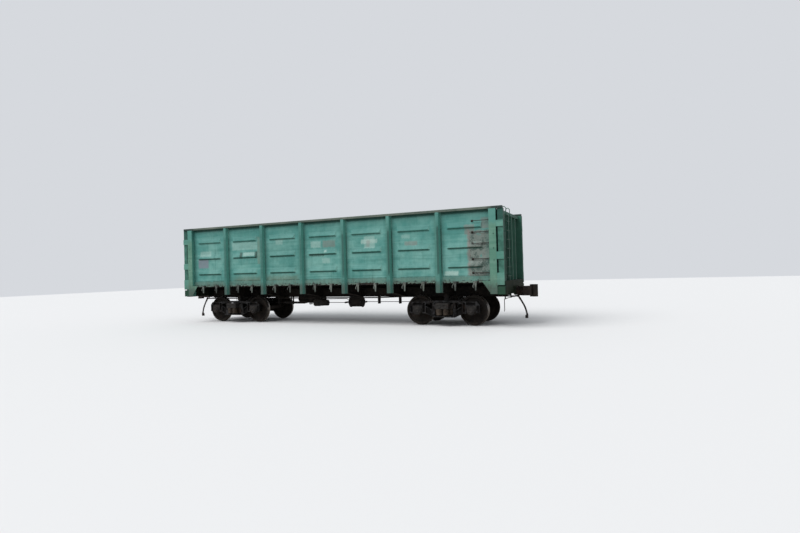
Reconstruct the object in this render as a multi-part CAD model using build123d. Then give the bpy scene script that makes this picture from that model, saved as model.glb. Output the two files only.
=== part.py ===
from build123d import *
import math
import os

# Open gondola wagon for 1520 mm gauge: seven bays a side, fourteen bottom hatches, two bogies.
# X runs along the wagon, Y across it and Z up. Sizes are millimetres. Heights are measured from
# the rail head, and every piece is raised by the flange height as it is written, so that the
# wheel flanges stand on Z = 0.

os.makedirs("parts", exist_ok=True)

# Main sizes
bay_pitch = 1730
bay_count = 7
inner_width = 2900
wall_top = 3710
floor_height = 1415
coupler_height = 1060
coupler_reach = 520
running_gap = 0.3

# Side walls
sheet_thickness = 5
sill_thickness = 10
sill_height = 145
sill_drop = 15
sill_flange = 90
chord_height = 75
chord_width = 127
chord_corner = 12
chord_end_inset = 20
post_thickness = 8
post_depth = 112
post_face = 110
post_foot = 165
post_flange = 38
post_bottom = 1080
bead_length = 1160
bead_depth = 40
bead_top_slope = 130
bead_bottom_slope = 26
bead_face = 30
bead_end_slope = 60
bead_bottoms = (3090, 2470, 1865)

# Corners and end walls
corner_post_gap = 25
corner_post_width = 220
corner_recess = 220
corner_post_depth = 167
corner_post_wall = 12
corner_post_bottom = 1030
gusset_length = 250
gusset_toe = 30
gusset_bottom = 1075
corner_hole_radius = 20
corner_hole_shift = 30
corner_hole_heights = (2865, 2425, 2060)
end_wall_top = 3610
end_chord_height = 100
end_chord_width = 120
end_rib_depth = 110
end_rib_face = 90
end_rib_foot = 140
end_rib_flange = 30
end_rib_places = (-800, -250, 250, 800)
column_gap = 50
column_inset = 27
column_width = 140
column_wall = 12
bracket_levels = ((3080, 3270), (2090, 2310), (1300, 1670))

# Underframe
sill_web_inside = 350
sill_web_thickness = 12
sill_bottom = 905
z_beam_height = 310
z_beam_flange = 83
z_beam_flange_thickness = 16
top_beam_web = 12
top_beam_flange_width = 250
top_beam_flange_thickness = 15
beam_flange_width = 170
beam_flange_thickness = 10
beam_web_thickness = 8
beam_level_start = 1250
beam_bottom = 1068
beam_box_inside = 110
end_sill_width = 200
end_sill_bottom = 1000
end_sill_wall = 10
end_sill_inset = 15
end_plate_gap = 15
end_plate_rib_place = 900
end_plate_rib_bottom = 1180
end_box_levels = (1020, 1260)
end_box_inset = 17
striker_width = 500
striker_depth = 60
striker_levels = (940, 1230)
striker_mouth_gap = 60
striker_mouth_rise = 30
centre_plate_radius = 150
centre_plate_level = 776
centre_plate_top = 840
centre_plate_block = (200, 270)
side_bearer_place = 762
side_bearer_size = (150, 120)
side_bearer_level = 815
side_bearer_seat = 20

# Hatches and their locks
hatch_end_gap = 10
hatch_inner_edge = 135
hatch_side_gap = 8
hatch_plate = 6
hatch_edge_depth = 50
hatch_edge_thickness = 8
hatch_edge_start = 275
hatch_groove_depth = 20
hatch_groove_end = 40
hatch_groove_widths = (130, 80)
hatch_groove_places = (470, 790, 1110)
hinge_place = 215
hinge_drop = 30
hinge_pin_radius = 12
hinge_bore_clearance = 1
hinge_lug_radius = 20
hinge_lug_length = 56
hinge_cheek = 12
hinge_cheek_gap = 6
hinge_cheek_reach = 19
hinge_cheek_drop = 90
hinge_lug_corner = 8
hinge_end_distance = 210
lock_spacing = 660
lock_clearance = 10
lock_head = (80, 45, 50)
lock_hook_bottom = 1140
lock_hook_set_back = 5
lock_hook_widths = (70, 36)
lock_hook_thickness = 25

# Ladders
rung_radius = 10
side_rungs = (3300, 2950, 2600, 2120, 1690)
side_rung_length = 550
rung_standoff = 75
end_ladder_stiles = (-950, -400)
end_ladder_bottom = 1500
end_ladder_first_rung = 60
end_ladder_rungs = 7
end_ladder_top = 3750
end_ladder_standoff = 70
end_ladder_corner = 45
end_ladder_foot = (40, 12)
end_ladder_foot_rise = 100
stile_radius = 13

# Couplers
shank_width = 130
shank_height = 175
shank_length = 740
shank_gap = 140
head_height = 300
guard_height = 400
head_outline = (
    (-400, -65), (-310, -120), (-230, -205), (-60, -215), (0, -190), (20, -125), (-35, -85),
    (-110, -70), (-110, 35), (-60, 60), (0, 75), (60, 20), (120, 30), (185, 90), (185, 150),
    (80, 225), (-120, 230), (-300, 120), (-400, 65),
)
large_tooth_outline = (
    (-60, 60), (0, 75), (60, 20), (120, 30), (185, 90), (185, 150), (80, 225), (-60, 228),
)

# Uncoupling levers
handle_height = 870
handle_set_back = 60
handle_inner = 180
handle_outer = 1380
handle_drop = 320
handle_grip = (50, 50)
handle_corner = 30
handle_bracket_places = (420, 1250)
handle_bracket_size = (20, 36)

# Brake gear under the body
pipe_radius = 21
pipe_sides = 12
pipe_height = 870
pipe_offset = 300
pipe_crossing = (1500, 2300)
cock_radius = 32
cock_length = 70
cock_outlet = (42, 68)
cock_outlet_radius = 29
cock_stem_radius = 14
cock_stem_height = 70
cock_ear_width = 24
cock_ear_span = (30, 60)
cylinder_radius = 178
cylinder_height = 700
cylinder_span = (300, 760)
cylinder_cover = 18
cylinder_nose_radius = 60
cylinder_rod_radius = 20
cylinder_bracket_width = 240
cylinder_bracket_inset = 60
cylinder_plate = 12
lever_gaps = (120, 40)
lever_thickness = 20
lever_height = 60
lever_overhang = 40
reservoir_radius = 155
reservoir_span = (-2300, -1200)
reservoir_axis = (480, 800)
reservoir_neck = 40
reservoir_neck_step = 35
reservoir_hanger_inset = 200
reservoir_hanger = 12
reservoir_hanger_reach = 120
valve_span = (-1000, -430)
valve_axis = (-480, 700)
valve_body = 220
valve_chamber_radius = 130
valve_cover_radius = 110
valve_overlap = 60
valve_bracket = 16
valve_bracket_width = 120
valve_arm = 10
rod_radius = 11
rod_height = 690
rod_offset = 230
rod_end = 3000

# Bogies
wheelbase = 1850
wheel_diameter = 957
flange_height = 28
flange_thickness = 33
flange_back = 20
flange_tip = 12
tread_rise = 4
tread_fall = 5
wheel_inside = 1440
rim_width = 130
rim_thickness = 72
web_thickness = 24
web_place = 40
web_dish = 10
hub_radius = 135
hub_length = 190
hub_start = 700
axle_radius = 84
seat_overhang = 3
wheel_seat_radius = 97
journal_radius = 65
journal_length = 176
axle_length = 2216
frame_centre = 1018
frame_thickness = 170
frame_overhang = 110
frame_top = 804
frame_top_half = 330
frame_shoulder = 768
frame_shoulder_start = 620
frame_shoulder_rise = 18
frame_nose = (90, 660)
frame_foot = 400
frame_jaw_foot = 385
frame_jaw_width = 110
frame_bottom = 256
frame_bottom_half = 360
frame_shelf_width = 90
frame_shelf_reach = 60
frame_shelf_thickness = 20
frame_pocket_depth = 42
frame_rim = 28
window_half_width = 315
window_top = 740
small_window_gap = 85
small_window_outer = (140, 120)
small_window_levels = (500, 630, 690, 735)
spring_seat = 310
spring_seat_thickness = 30
spring_height = 235
spring_radius = 100
spring_pitch = 212
spring_sides = 12
box_radius = 150
box_half_width = 160
box_side_gap = 5
box_top = 630
box_start = 905
box_end = 1120
box_saddle_rise = 60
box_blind_gap = 4
cover_radius = 118
cover_depth = 30
collar_clearance = 3
bolster_half_width = 220
bolster_end = 1298
bolster_top_steps = ((420, 745), (900, 745), (925, 722))
bolster_belly = (560, 420)
bolster_bottom = 400
bolster_spring_gap = 6
bowl_wall = 35
bowl_clearance = 2
bowl_rim = 25
bowl_base = 700
bearer_base = 740
bearer_gap = 8
wedge_gap = 1
wedge_width = 180
wedge_levels = (600, 680)
wedge_flat = 40
shoe_gap = 8
shoe_thickness = 45
shoe_width = 78
shoe_height = 340
shoe_inset = 8
shoe_arm = 80
shoe_arm_size = (38, 40)
brake_beam_distance = 595
brake_beam_height = 420
brake_beam_radius = 27
brake_lever_size = (24, 60)
brake_lever_levels = (350, 690)

# Hoses
hose_radius = 27.5
hose_steps = ((0, 0), (84, -136), (150, -262), (202, -402), (224, -520))
hose_collar_radius = 34
hose_collar_length = 50
hose_head_size = (90, 60, 100)
hose_head_place = (10, 95)


def block(x, y, z):
    """A box between the pairs of limits x, y and z."""
    size = [high - low for low, high in (x, y, z)]
    middle = [(low + high) / 2 for low, high in (x, y, z)]
    return Pos(*middle) * Box(*size)


def prism(outline, axis, low, high):
    """A polygon of two-number points, extruded from low to high along axis x, y or z."""
    place = {
        "x": lambda u, v: (low, u, v),
        "y": lambda u, v: (u, low, v),
        "z": lambda u, v: (u, v, low),
    }[axis]
    along = {"x": (high - low, 0, 0), "y": (0, high - low, 0), "z": (0, 0, high - low)}[axis]
    face = Face(Wire.make_polygon([place(u, v) for u, v in outline], close=True))
    return Solid.extrude(face, Vector(*along))


def rod(axis, radius, low, high, across):
    """A cylinder along axis, from low to high, through the two other coordinates in across."""
    turn = {"x": (0, 90, 0), "y": (90, 0, 0), "z": (0, 0, 0)}[axis]
    middle = (low + high) / 2
    u, v = across
    at = {"x": (middle, u, v), "y": (u, middle, v), "z": (u, v, middle)}[axis]
    return Pos(*at) * Rot(*turn) * Cylinder(radius, high - low)


def bar(points, radius, sides=8):
    """A bar of many-sided section through the points, with mitred corners."""
    along = Vector(*points[1]) - Vector(*points[0])
    start = Plane(origin=points[0], z_dir=along)
    section = start * RegularPolygon(radius, sides)
    return sweep(section, path=Polyline(*points), transition=Transition.RIGHT)


def fused(*shapes):
    """The union of all shapes."""
    return Part() + list(shapes)


def turned(shape):
    """The same piece at the diagonally opposite place, half a turn about Z."""
    return Rot(0, 0, 180) * shape


def both_sides(shape):
    """The piece and its mirror image across the wagon."""
    return [shape, mirror(shape, about=Plane.XZ)]


def four_corners(shape):
    """The piece mirrored to all four corners."""
    pair = both_sides(shape)
    return pair + [mirror(one, about=Plane.YZ) for one in pair]


def write(name, *shapes):
    """Raise the shapes by the flange height and write them as one STEP file."""
    solids = [solid for shape in shapes for solid in shape.solids()]
    raised = [Pos(0, 0, flange_height) * solid for solid in solids]
    whole = raised[0] if len(raised) == 1 else Compound(raised)
    export_step(whole, f"parts/{name}.step")


# Places worked out from the sizes
sheet_inside = inner_width / 2
sheet_outside = sheet_inside + sheet_thickness
side_face = sheet_outside + post_depth
sill_outside = sheet_outside + sill_thickness
sill_level = floor_height + sill_drop
sill_top = sill_level + sill_height
chord_bottom = wall_top - chord_height
beam_places = [bay_pitch * (n - (bay_count - 2) / 2) for n in range(bay_count - 1)]
bay_places = [bay_pitch * (n - (bay_count - 1) / 2) for n in range(bay_count)]
bogie_place = beam_places[-1]
hatch_length = bay_pitch - beam_flange_width - 2 * hatch_end_gap
end_plate_start = bay_places[-1] + hatch_length / 2 + end_plate_gap
corner_post_start = end_plate_start + corner_post_gap
corner_post_end = corner_post_start + corner_post_width
end_sheet_outside = corner_post_end + sheet_thickness
end_sill_face = corner_post_end + corner_recess
coupler_face = end_sill_face + coupler_reach
pipe_end = end_sill_face
hinge_offsets = (hinge_end_distance - hatch_length / 2, 0, hatch_length / 2 - hinge_end_distance)
sill_web_outside = sill_web_inside / 2 + sill_web_thickness
sill_flange_edge = sill_web_outside + z_beam_flange
z_beam_top = sill_bottom + z_beam_height
top_beam_top = floor_height - top_beam_flange_thickness
hinge_height = floor_height - hinge_drop
hatch_outer_edge = sheet_outside - hatch_side_gap
wheel_radius = wheel_diameter / 2
jaw = box_half_width + box_side_gap
frame_half_length = wheelbase / 2 + jaw + frame_overhang
brake_beam_place = wheelbase / 2 - brake_beam_distance
spring_row = spring_pitch * math.sin(math.radians(60))
seat_reach = spring_row + spring_radius
spring_top = spring_seat + spring_height


def centre_sill():
    """Two Z beams under an I beam, with the hatch hinge cheeks and pins."""
    half = sill_web_inside / 2
    end = end_sill_face - end_sill_width
    flange = z_beam_flange_thickness
    z_beam = [
        (half, sill_bottom), (sill_flange_edge, sill_bottom),
        (sill_flange_edge, sill_bottom + flange), (sill_web_outside, sill_bottom + flange),
        (sill_web_outside, z_beam_top), (0, z_beam_top), (0, z_beam_top - flange),
        (half, z_beam_top - flange),
    ]
    web = block((-end, end), (-top_beam_web / 2, top_beam_web / 2), (z_beam_top, top_beam_top))
    reach = top_beam_flange_width / 2
    cap = block((-end, end), (-reach, reach), (top_beam_top, floor_height))
    beams = [prism([(side * y, z) for y, z in z_beam], "x", -end, end) for side in (1, -1)]
    return fused(web, cap, *beams, *hinge_cheeks())


def hinge_cheeks():
    """Pairs of cheeks with a pin between them, three pairs for each hatch."""
    inner = hinge_lug_length / 2 + hinge_cheek_gap
    outer = inner + hinge_cheek
    outline = [
        (top_beam_web / 2, hinge_height - hinge_cheek_drop), (top_beam_web / 2, top_beam_top),
        (hinge_place, top_beam_top), (hinge_place + hinge_cheek_reach, hinge_height),
        (hinge_place, hinge_height - hinge_cheek_reach),
    ]
    pieces = []
    for bay in bay_places:
        for offset in hinge_offsets:
            place = bay + offset
            for low, high in ((-outer, -inner), (inner, outer)):
                pieces += both_sides(prism(outline, "x", place + low, place + high))
            across = (hinge_place, hinge_height)
            pin = rod("x", hinge_pin_radius, place - inner, place + inner, across)
            pieces += both_sides(pin)
    return pieces


def beam_half(place, web_places):
    """One side of a cross beam: webs, flanges and the end plate that carries the post."""
    flange = beam_flange_width / 2
    slope_start = (sill_flange_edge, sill_bottom + z_beam_flange_thickness)
    web = [
        (sill_web_outside, slope_start[1]), (sill_web_outside, z_beam_top),
        (top_beam_web / 2, z_beam_top), (top_beam_web / 2, top_beam_top),
        (top_beam_flange_width / 2, top_beam_top), (top_beam_flange_width / 2, floor_height),
        (sheet_outside, floor_height), (sheet_outside, post_bottom), (beam_level_start, post_bottom),
        slope_start,
    ]
    foot = [
        slope_start, (beam_level_start, post_bottom), (sheet_outside, post_bottom),
        (sheet_outside, beam_bottom), (beam_level_start, beam_bottom),
        (sill_flange_edge, slope_start[1] - (post_bottom - beam_bottom)),
    ]
    top = block(
        (place - flange, place + flange),
        (top_beam_flange_width / 2, sheet_outside),
        (floor_height - beam_flange_thickness, floor_height),
    )
    end = post_foot / 2 + post_flange
    plate = block(
        (place - end, place + end), (sheet_outside, sill_outside), (beam_bottom, sill_level)
    )
    webs = [
        prism(web, "x", place + shift - beam_web_thickness / 2, place + shift + beam_web_thickness / 2)
        for shift in web_places
    ]
    return fused(prism(foot, "x", place - flange, place + flange), top, plate, *webs)


def cross_beams():
    """The four plain cross beams, in halves beside the centre sill."""
    pieces = []
    for place in beam_places[1:-1]:
        pieces += both_sides(beam_half(place, (0,)))
    return pieces


def bolster_beams():
    """The box beams over the bogies, with the side bearers."""
    pieces = []
    shift = (beam_box_inside + beam_web_thickness) / 2
    long, wide = side_bearer_size
    run = (side_bearer_place - sill_flange_edge) / (beam_level_start - sill_flange_edge)
    seat = sill_bottom + run * (beam_bottom - sill_bottom) + side_bearer_seat
    for place in (beam_places[0], beam_places[-1]):
        bearer = block(
            (place - long / 2, place + long / 2),
            (side_bearer_place - wide / 2, side_bearer_place + wide / 2),
            (side_bearer_level, seat),
        )
        pieces += both_sides(fused(beam_half(place, (-shift, shift)), bearer))
    return pieces


def centre_plates():
    """The flat centre plates that rest in the bogie bowls."""
    pieces = []
    long, wide = centre_plate_block
    for place in (-bogie_place, bogie_place):
        seat = block((place - long, place + long), (-wide, wide), (centre_plate_top, sill_bottom))
        disc = rod("z", centre_plate_radius, centre_plate_level, centre_plate_top, (place, 0))
        pieces.append(fused(seat, disc))
    return pieces


def end_sill():
    """The box beam across one end, with its floor plate, end boxes and coupler striker."""
    inner = end_sill_face - end_sill_width
    corner = sheet_outside - end_sill_inset
    hollow = end_sill_wall
    beam = block((inner, end_sill_face), (-corner, corner), (end_sill_bottom, floor_height))
    beam -= block(
        (inner + hollow, end_sill_face - hollow),
        (-corner + hollow, corner - hollow),
        (end_sill_bottom + hollow, floor_height - hollow),
    )
    inside = side_face - corner_post_depth
    cap = top_beam_flange_width / 2
    floor = both_sides(prism(
        [
            (end_plate_start, cap), (end_plate_start, sheet_outside),
            (corner_post_start, sheet_outside), (corner_post_start, inside), (inner, inside),
            (inner, cap),
        ],
        "z", floor_height - hollow, floor_height,
    ))
    boxes = both_sides(block(
        (corner_post_end, end_sill_face), (corner, side_face - end_box_inset), end_box_levels
    ))
    front = end_sill_face + striker_depth
    half = striker_width / 2
    striker = block((end_sill_face, front), (-half, half), striker_levels)
    gap = shank_width / 2 + striker_mouth_gap
    low = coupler_height - shank_height / 2
    high = coupler_height + shank_height / 2 + striker_mouth_rise
    mouth = block((inner - 1, front + 1), (-gap, gap), (low, high))
    ribs = both_sides(block(
        (end_plate_start, inner), (end_plate_rib_place, end_plate_rib_place + hollow),
        (end_plate_rib_bottom, floor_height - hollow),
    ))
    return fused(beam, *floor, *boxes, striker, *ribs) - mouth


def side_sill():
    """The angle along the foot of the side wall."""
    outline = [
        (sill_outside, sill_level), (sill_outside, sill_top), (sheet_outside, sill_top),
        (sheet_outside, sill_level + sill_thickness),
        (sheet_outside - sill_flange, sill_level + sill_thickness),
        (sheet_outside - sill_flange, sill_level),
    ]
    return prism(outline, "x", -corner_post_start, corner_post_start)


def bead(place, bottom, inset):
    """One pressed rib: a long upper slope, a narrow face and a steep lower edge."""
    half = bead_length / 2
    base = sheet_outside - inset
    crest = base + bead_depth
    low = bottom + bead_bottom_slope
    top = low + bead_face + bead_top_slope
    section = [(base, bottom), (crest, low), (crest, low + bead_face), (base, top)]
    plan = [
        (place - half, base), (place + half, base), (place + half - bead_end_slope, crest),
        (place - half + bead_end_slope, crest),
    ]
    return prism(section, "x", place - half, place + half) & prism(plan, "z", bottom, top)


def side_sheet():
    """The side wall sheet with three pressed ribs in each bay."""
    sheet = block(
        (-corner_post_start, corner_post_start),
        (sheet_inside, sheet_outside),
        (sill_level + sill_thickness, chord_bottom),
    )
    places = [(bay, level) for bay in bay_places for level in bead_bottoms]
    sheet = fused(sheet, *[bead(bay, level, 0) for bay, level in places])
    return sheet - [bead(bay, level, sheet_thickness) for bay, level in places]


def hat_outline(base, face, half_face, half_foot, flange, wall):
    """A hat section as (across, out) points: flanges at base, outer face at face."""
    slope = wall * math.hypot(face - base, half_foot - half_face) / (face - base)
    right = [
        (half_foot + flange, base), (half_foot + flange, base + wall), (half_foot, base + wall),
        (half_face, face),
    ]
    inner = [(half_face - slope, face - wall), (half_foot - slope, base)]
    left = [(-x, y) for x, y in reversed(right)]
    return right + left + [(-x, y) for x, y in reversed(inner)] + inner


def side_posts():
    """Six hat-section posts a side, which run on over the sill to the beam ends."""
    pieces = []
    for place in beam_places:
        parts = []
        for base, low, high in (
            (sill_outside, post_bottom, sill_top), (sheet_outside, sill_top, chord_bottom)
        ):
            outline = hat_outline(
                base, side_face, post_face / 2, post_foot / 2, post_flange, post_thickness
            )
            parts.append(prism([(place + x, y) for x, y in outline], "z", low, high))
        pieces += both_sides(fused(*parts))
    return pieces


def side_top_chord():
    """The closed chord along the top of the side wall."""
    inner = side_face - chord_width
    soft = chord_corner
    outline = [
        (inner, chord_bottom), (side_face, chord_bottom), (side_face, wall_top - soft),
        (side_face - soft, wall_top), (inner + soft, wall_top), (inner, wall_top - soft),
    ]
    end = end_sill_face - chord_end_inset
    return prism(outline, "x", -end, end)


def corner_post():
    """The box post at a corner, with the holes and the flared foot of its outer plate."""
    wall = corner_post_wall
    inner = side_face - corner_post_depth
    x = (corner_post_start, corner_post_end)
    post = block(x, (inner, side_face), (corner_post_bottom, chord_bottom))
    post -= block(
        (x[0] + wall, x[1] - wall), (inner + wall, side_face - wall),
        (corner_post_bottom, chord_bottom - wall),
    )
    gusset = prism(
        [
            (corner_post_start + wall, sill_level), (corner_post_start - gusset_length, sill_level),
            (corner_post_start - gusset_toe, gusset_bottom + gusset_toe),
            (corner_post_start, gusset_bottom), (corner_post_start + wall, gusset_bottom),
        ],
        "y", side_face - wall, side_face,
    )
    hole_place = (corner_post_start + corner_post_end) / 2 + corner_hole_shift
    holes = [
        rod("y", corner_hole_radius, side_face - wall - 1, side_face + 1, (hole_place, height))
        for height in corner_hole_heights
    ]
    return fused(post, gusset) - holes


def end_sheet():
    """The flat sheet of one end wall."""
    reach = side_face - column_inset
    top = end_wall_top - end_chord_height
    return block((corner_post_end, end_sheet_outside), (-reach, reach), (floor_height, top))


def end_frame():
    """The welded frame of one end wall: top chord, vertical ribs and corner columns."""
    low, high = floor_height, end_wall_top - end_chord_height
    face = end_sheet_outside + end_rib_depth
    ribs = []
    for place in end_rib_places:
        outline = hat_outline(
            end_sheet_outside, face, end_rib_face / 2, end_rib_foot / 2, end_rib_flange, post_thickness
        )
        ribs.append(prism([(x, place + y) for y, x in outline], "z", low, high))
    inner = side_face - column_inset - column_width
    chord = block((corner_post_end, corner_post_end + end_chord_width), (-inner, inner),
                  (high, end_wall_top))
    start = end_sheet_outside + column_gap - sheet_thickness
    edge = side_face - column_inset
    column = prism(
        [
            (end_sheet_outside, inner), (end_sill_face, inner), (end_sill_face, edge),
            (start, edge), (start, inner + column_wall), (end_sheet_outside, inner + column_wall),
        ],
        "z", low, chord_bottom,
    )
    return fused(chord, *ribs, *both_sides(column))


def end_brackets():
    """The three brackets that tie each corner post to its end column."""
    inner = side_face - column_inset
    pieces = []
    for low, high in bracket_levels:
        plate = block((corner_post_end, end_sill_face), (inner, side_face), (low, high))
        pieces += four_corners(plate)
    return pieces


def side_ladder():
    """Five rungs beside a corner post."""
    rungs = []
    y = sheet_outside + rung_standoff
    start = corner_post_start - side_rung_length
    beads = [bead(bay_places[-1], bottom, 0) for bottom in bead_bottoms]
    for height in side_rungs:
        route = [
            (corner_post_start, y, height), (start, y, height), (start, sheet_outside, height),
        ]
        rungs.append(bar(route, rung_radius) - beads)
    return rungs


def end_ladder():
    """The ladder on an end wall, with stiles that curl over the top chord."""
    x = end_sheet_outside + end_rib_depth + end_ladder_standoff
    low, high = end_ladder_bottom, end_ladder_top - stile_radius
    hook = corner_post_end + end_chord_width / 2
    soft = end_ladder_corner
    foot_width, foot_thickness = end_ladder_foot
    foot = low + end_ladder_foot_rise
    pieces = []
    for y in end_ladder_stiles:
        route = [
            (x, y, low), (x, y, high - soft), (x - soft, y, high), (hook + soft, y, high),
            (hook, y, high - soft), (hook, y, end_wall_top),
        ]
        pieces.append(bar(route, stile_radius))
        across = (y - foot_width / 2, y + foot_width / 2)
        pieces.append(block((end_sheet_outside, x), across, (foot, foot + foot_thickness)))
    inner, outer = max(end_ladder_stiles), min(end_ladder_stiles)
    pitch = (end_wall_top - end_chord_height - low) / end_ladder_rungs
    for step in range(end_ladder_rungs):
        height = low + end_ladder_first_rung + step * pitch
        pieces.append(bar([(x, outer, height), (x, inner, height)], rung_radius))
    return fused(*pieces)


def hatch_locks():
    """Two hooks under the sill for each hatch."""
    head_width, head_depth, head_height = lock_head
    pieces = []
    top, bottom = lock_hook_widths
    back = sheet_outside + lock_clearance + lock_hook_set_back
    for bay in bay_places:
        for offset in (-lock_spacing / 2, lock_spacing / 2):
            place = bay + offset
            head = block(
                (place - head_width / 2, place + head_width / 2),
                (sheet_outside, sheet_outside + head_depth),
                (sill_level - head_height, sill_level),
            )
            low = sill_level - head_height
            hook = prism(
                [
                    (place - top / 2, low), (place + top / 2, low),
                    (place + bottom / 2, lock_hook_bottom), (place - bottom / 2, lock_hook_bottom),
                ],
                "y", back, back + lock_hook_thickness,
            )
            pieces += both_sides(fused(head, hook))
    return pieces


def hatch(bay):
    """A hatch on the +Y side: grooved plate, edge flanges and hinge rings."""
    half = hatch_length / 2
    top = floor_height
    under = top - hatch_plate
    plate = block((bay - half, bay + half), (hatch_inner_edge, hatch_outer_edge), (under, top))
    wide, narrow = (width / 2 for width in hatch_groove_widths)
    end = half - hatch_groove_end
    ribs, grooves = [], []
    for place in hatch_groove_places:
        outline = [
            (place - wide, under), (place + wide, under),
            (place + narrow, top - hatch_groove_depth - hatch_plate),
            (place - narrow, top - hatch_groove_depth - hatch_plate),
        ]
        ribs.append(prism(outline, "x", bay - end, bay + end))
        raised = [(y, z + hatch_plate) for y, z in outline]
        grooves.append(prism(raised, "x", bay - end + hatch_plate, bay + end - hatch_plate))
    low = top - hatch_edge_depth
    thick = hatch_edge_thickness
    edges = [
        block((bay - half, bay - half + thick), (hatch_edge_start, hatch_outer_edge), (low, under)),
        block((bay + half - thick, bay + half), (hatch_edge_start, hatch_outer_edge), (low, under)),
        block((bay - half, bay + half), (hatch_outer_edge - thick, hatch_outer_edge), (low, under)),
    ]
    lugs = []
    reach, soft = hinge_lug_radius, hinge_lug_corner
    outline = [
        (hinge_place - reach, under), (hinge_place - reach, hinge_height - soft),
        (hinge_place - soft, hinge_height - reach), (hinge_place + soft, hinge_height - reach),
        (hinge_place + reach, hinge_height - soft), (hinge_place + reach, under),
    ]
    for offset in hinge_offsets:
        low_x = bay + offset - hinge_lug_length / 2
        high_x = low_x + hinge_lug_length
        bore = rod(
            "x", hinge_pin_radius + hinge_bore_clearance, low_x - 1, high_x + 1,
            (hinge_place, hinge_height),
        )
        lugs.append(prism(outline, "x", low_x, high_x) - bore)
    return fused(plate, *ribs, *edges, *lugs) - grooves


def coupler():
    """The automatic coupler at the +X end: shank and a head with a large and a small tooth."""
    height = (coupler_height - shank_height / 2, coupler_height + shank_height / 2)
    span = (end_sill_face - shank_length, end_sill_face + shank_gap)
    pieces = [block(span, (-shank_width / 2, shank_width / 2), height)]
    for outline, tall in ((head_outline, head_height), (large_tooth_outline, guard_height)):
        points = [(coupler_face + x, y) for x, y in outline]
        pieces.append(prism(points, "z", coupler_height - tall / 2, coupler_height + tall / 2))
    return fused(*pieces)


def uncoupling_lever():
    """The hand lever under the +X end sill, with its brackets."""
    x, z = end_sill_face - handle_set_back, handle_height
    outer, foot = handle_outer, handle_height - handle_drop
    grip_out, grip_down = handle_grip
    route = [
        (x, -handle_inner, z), (x, handle_corner - outer, z), (x, -outer, z - handle_corner),
        (x, -outer, foot), (x, -outer - grip_out, foot - grip_down),
    ]
    wide, tall = (size / 2 for size in handle_bracket_size)
    brackets = [
        block((x - tall, x + tall), (-y - wide, -y + wide), (z - tall, end_sill_bottom))
        for y in handle_bracket_places
    ]
    return fused(bar(route, rod_radius), *brackets)


def cock_outlet_line(side):
    """Where the bent outlet of a cock starts and ends, at the end that side names."""
    out, down = cock_outlet
    x = side * (pipe_end + cock_length - cock_radius)
    y = side * pipe_offset
    return (x, y, pipe_height), (x + side * out, y, pipe_height - down)


def brake_pipe():
    """The train pipe, which crosses under the centre sill, with a cock at each end."""
    first, second = pipe_crossing
    route = [
        (-pipe_end, -pipe_offset, pipe_height), (first, -pipe_offset, pipe_height),
        (second, pipe_offset, pipe_height), (pipe_end, pipe_offset, pipe_height),
    ]
    pipe = bar(route, pipe_radius, pipe_sides)
    cocks = []
    for side in (-1, 1):
        x, y = side * pipe_end, side * pipe_offset
        span = sorted((x, x + side * cock_length))
        body = rod("x", cock_radius, *span, (y, pipe_height))
        stem = rod(
            "z", cock_stem_radius, pipe_height, pipe_height + cock_stem_height, (sum(span) / 2, y)
        )
        ears = block(
            sorted(x - side * place for place in cock_ear_span),
            (y - cock_ear_width / 2, y + cock_ear_width / 2), (pipe_height, end_sill_bottom),
        )
        start, end = cock_outlet_line(side)
        cocks += [body, stem, ears, bar([start, end], cock_outlet_radius, pipe_sides)]
    return fused(pipe, *cocks)


def brake_cylinder():
    """The brake cylinder under the centre sill, with its covers and bracket."""
    low, high = cylinder_span
    axis = (0, cylinder_height)
    cover = cylinder_cover
    bracket = (low + cylinder_bracket_inset, high - cylinder_bracket_inset)
    half = cylinder_bracket_width / 2
    plate = sill_bottom - cylinder_plate
    pieces = [
        rod("x", cylinder_radius, low, high, axis),
        rod("x", cylinder_radius + cover, low - cover, low, axis),
        rod("x", cylinder_radius + cover, high, high + cover, axis),
        rod("x", cylinder_nose_radius, high + cover, high + lever_gaps[1], axis),
        rod("x", cylinder_rod_radius, low - lever_gaps[0], low, axis),
        block(bracket, (-half, half), (cylinder_height, plate)),
        block(bracket, (-sill_flange_edge, sill_flange_edge), (plate, sill_bottom)),
    ]
    return fused(*pieces)


def air_reservoir():
    """The air reservoir beside the centre sill, on two hangers."""
    low, high = reservoir_span
    y, z = reservoir_axis
    pieces = [rod("x", reservoir_radius, low, high, (y, z))]
    neck = reservoir_radius - reservoir_neck_step
    pieces.append(rod("x", neck, low - reservoir_neck, high + reservoir_neck, (y, z)))
    for x in (low + reservoir_hanger_inset, high - reservoir_hanger_inset):
        hanger = [
            (sill_web_outside + reservoir_hanger, sill_bottom), (y, sill_bottom), (y, z),
            (y - reservoir_hanger_reach, z),
        ]
        pieces.append(prism(hanger, "x", x - reservoir_hanger / 2, x + reservoir_hanger / 2))
    return fused(*pieces)


def distributor_valve():
    """The distributor valve and its chamber on a bracket."""
    low, high = valve_span
    y, z = valve_axis
    middle = (low + high) / 2
    half = valve_body / 2
    wide = valve_bracket_width / 2
    arm = sill_web_outside + valve_arm
    bracket = [
        (y - wide, z), (y + wide, z), (y + wide, sill_bottom - valve_arm),
        (-arm, sill_bottom - valve_arm), (-arm, sill_bottom), (y - wide, sill_bottom),
    ]
    pieces = [
        block((middle - half, middle + half), (y - half, y + half), (z - half, z + half)),
        rod("x", valve_chamber_radius, low, middle - valve_overlap, (y, z)),
        rod("x", valve_cover_radius, middle + valve_overlap, high, (y, z)),
        prism(bracket, "x", middle - valve_bracket / 2, middle + valve_bracket / 2),
    ]
    return fused(*pieces)


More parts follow.
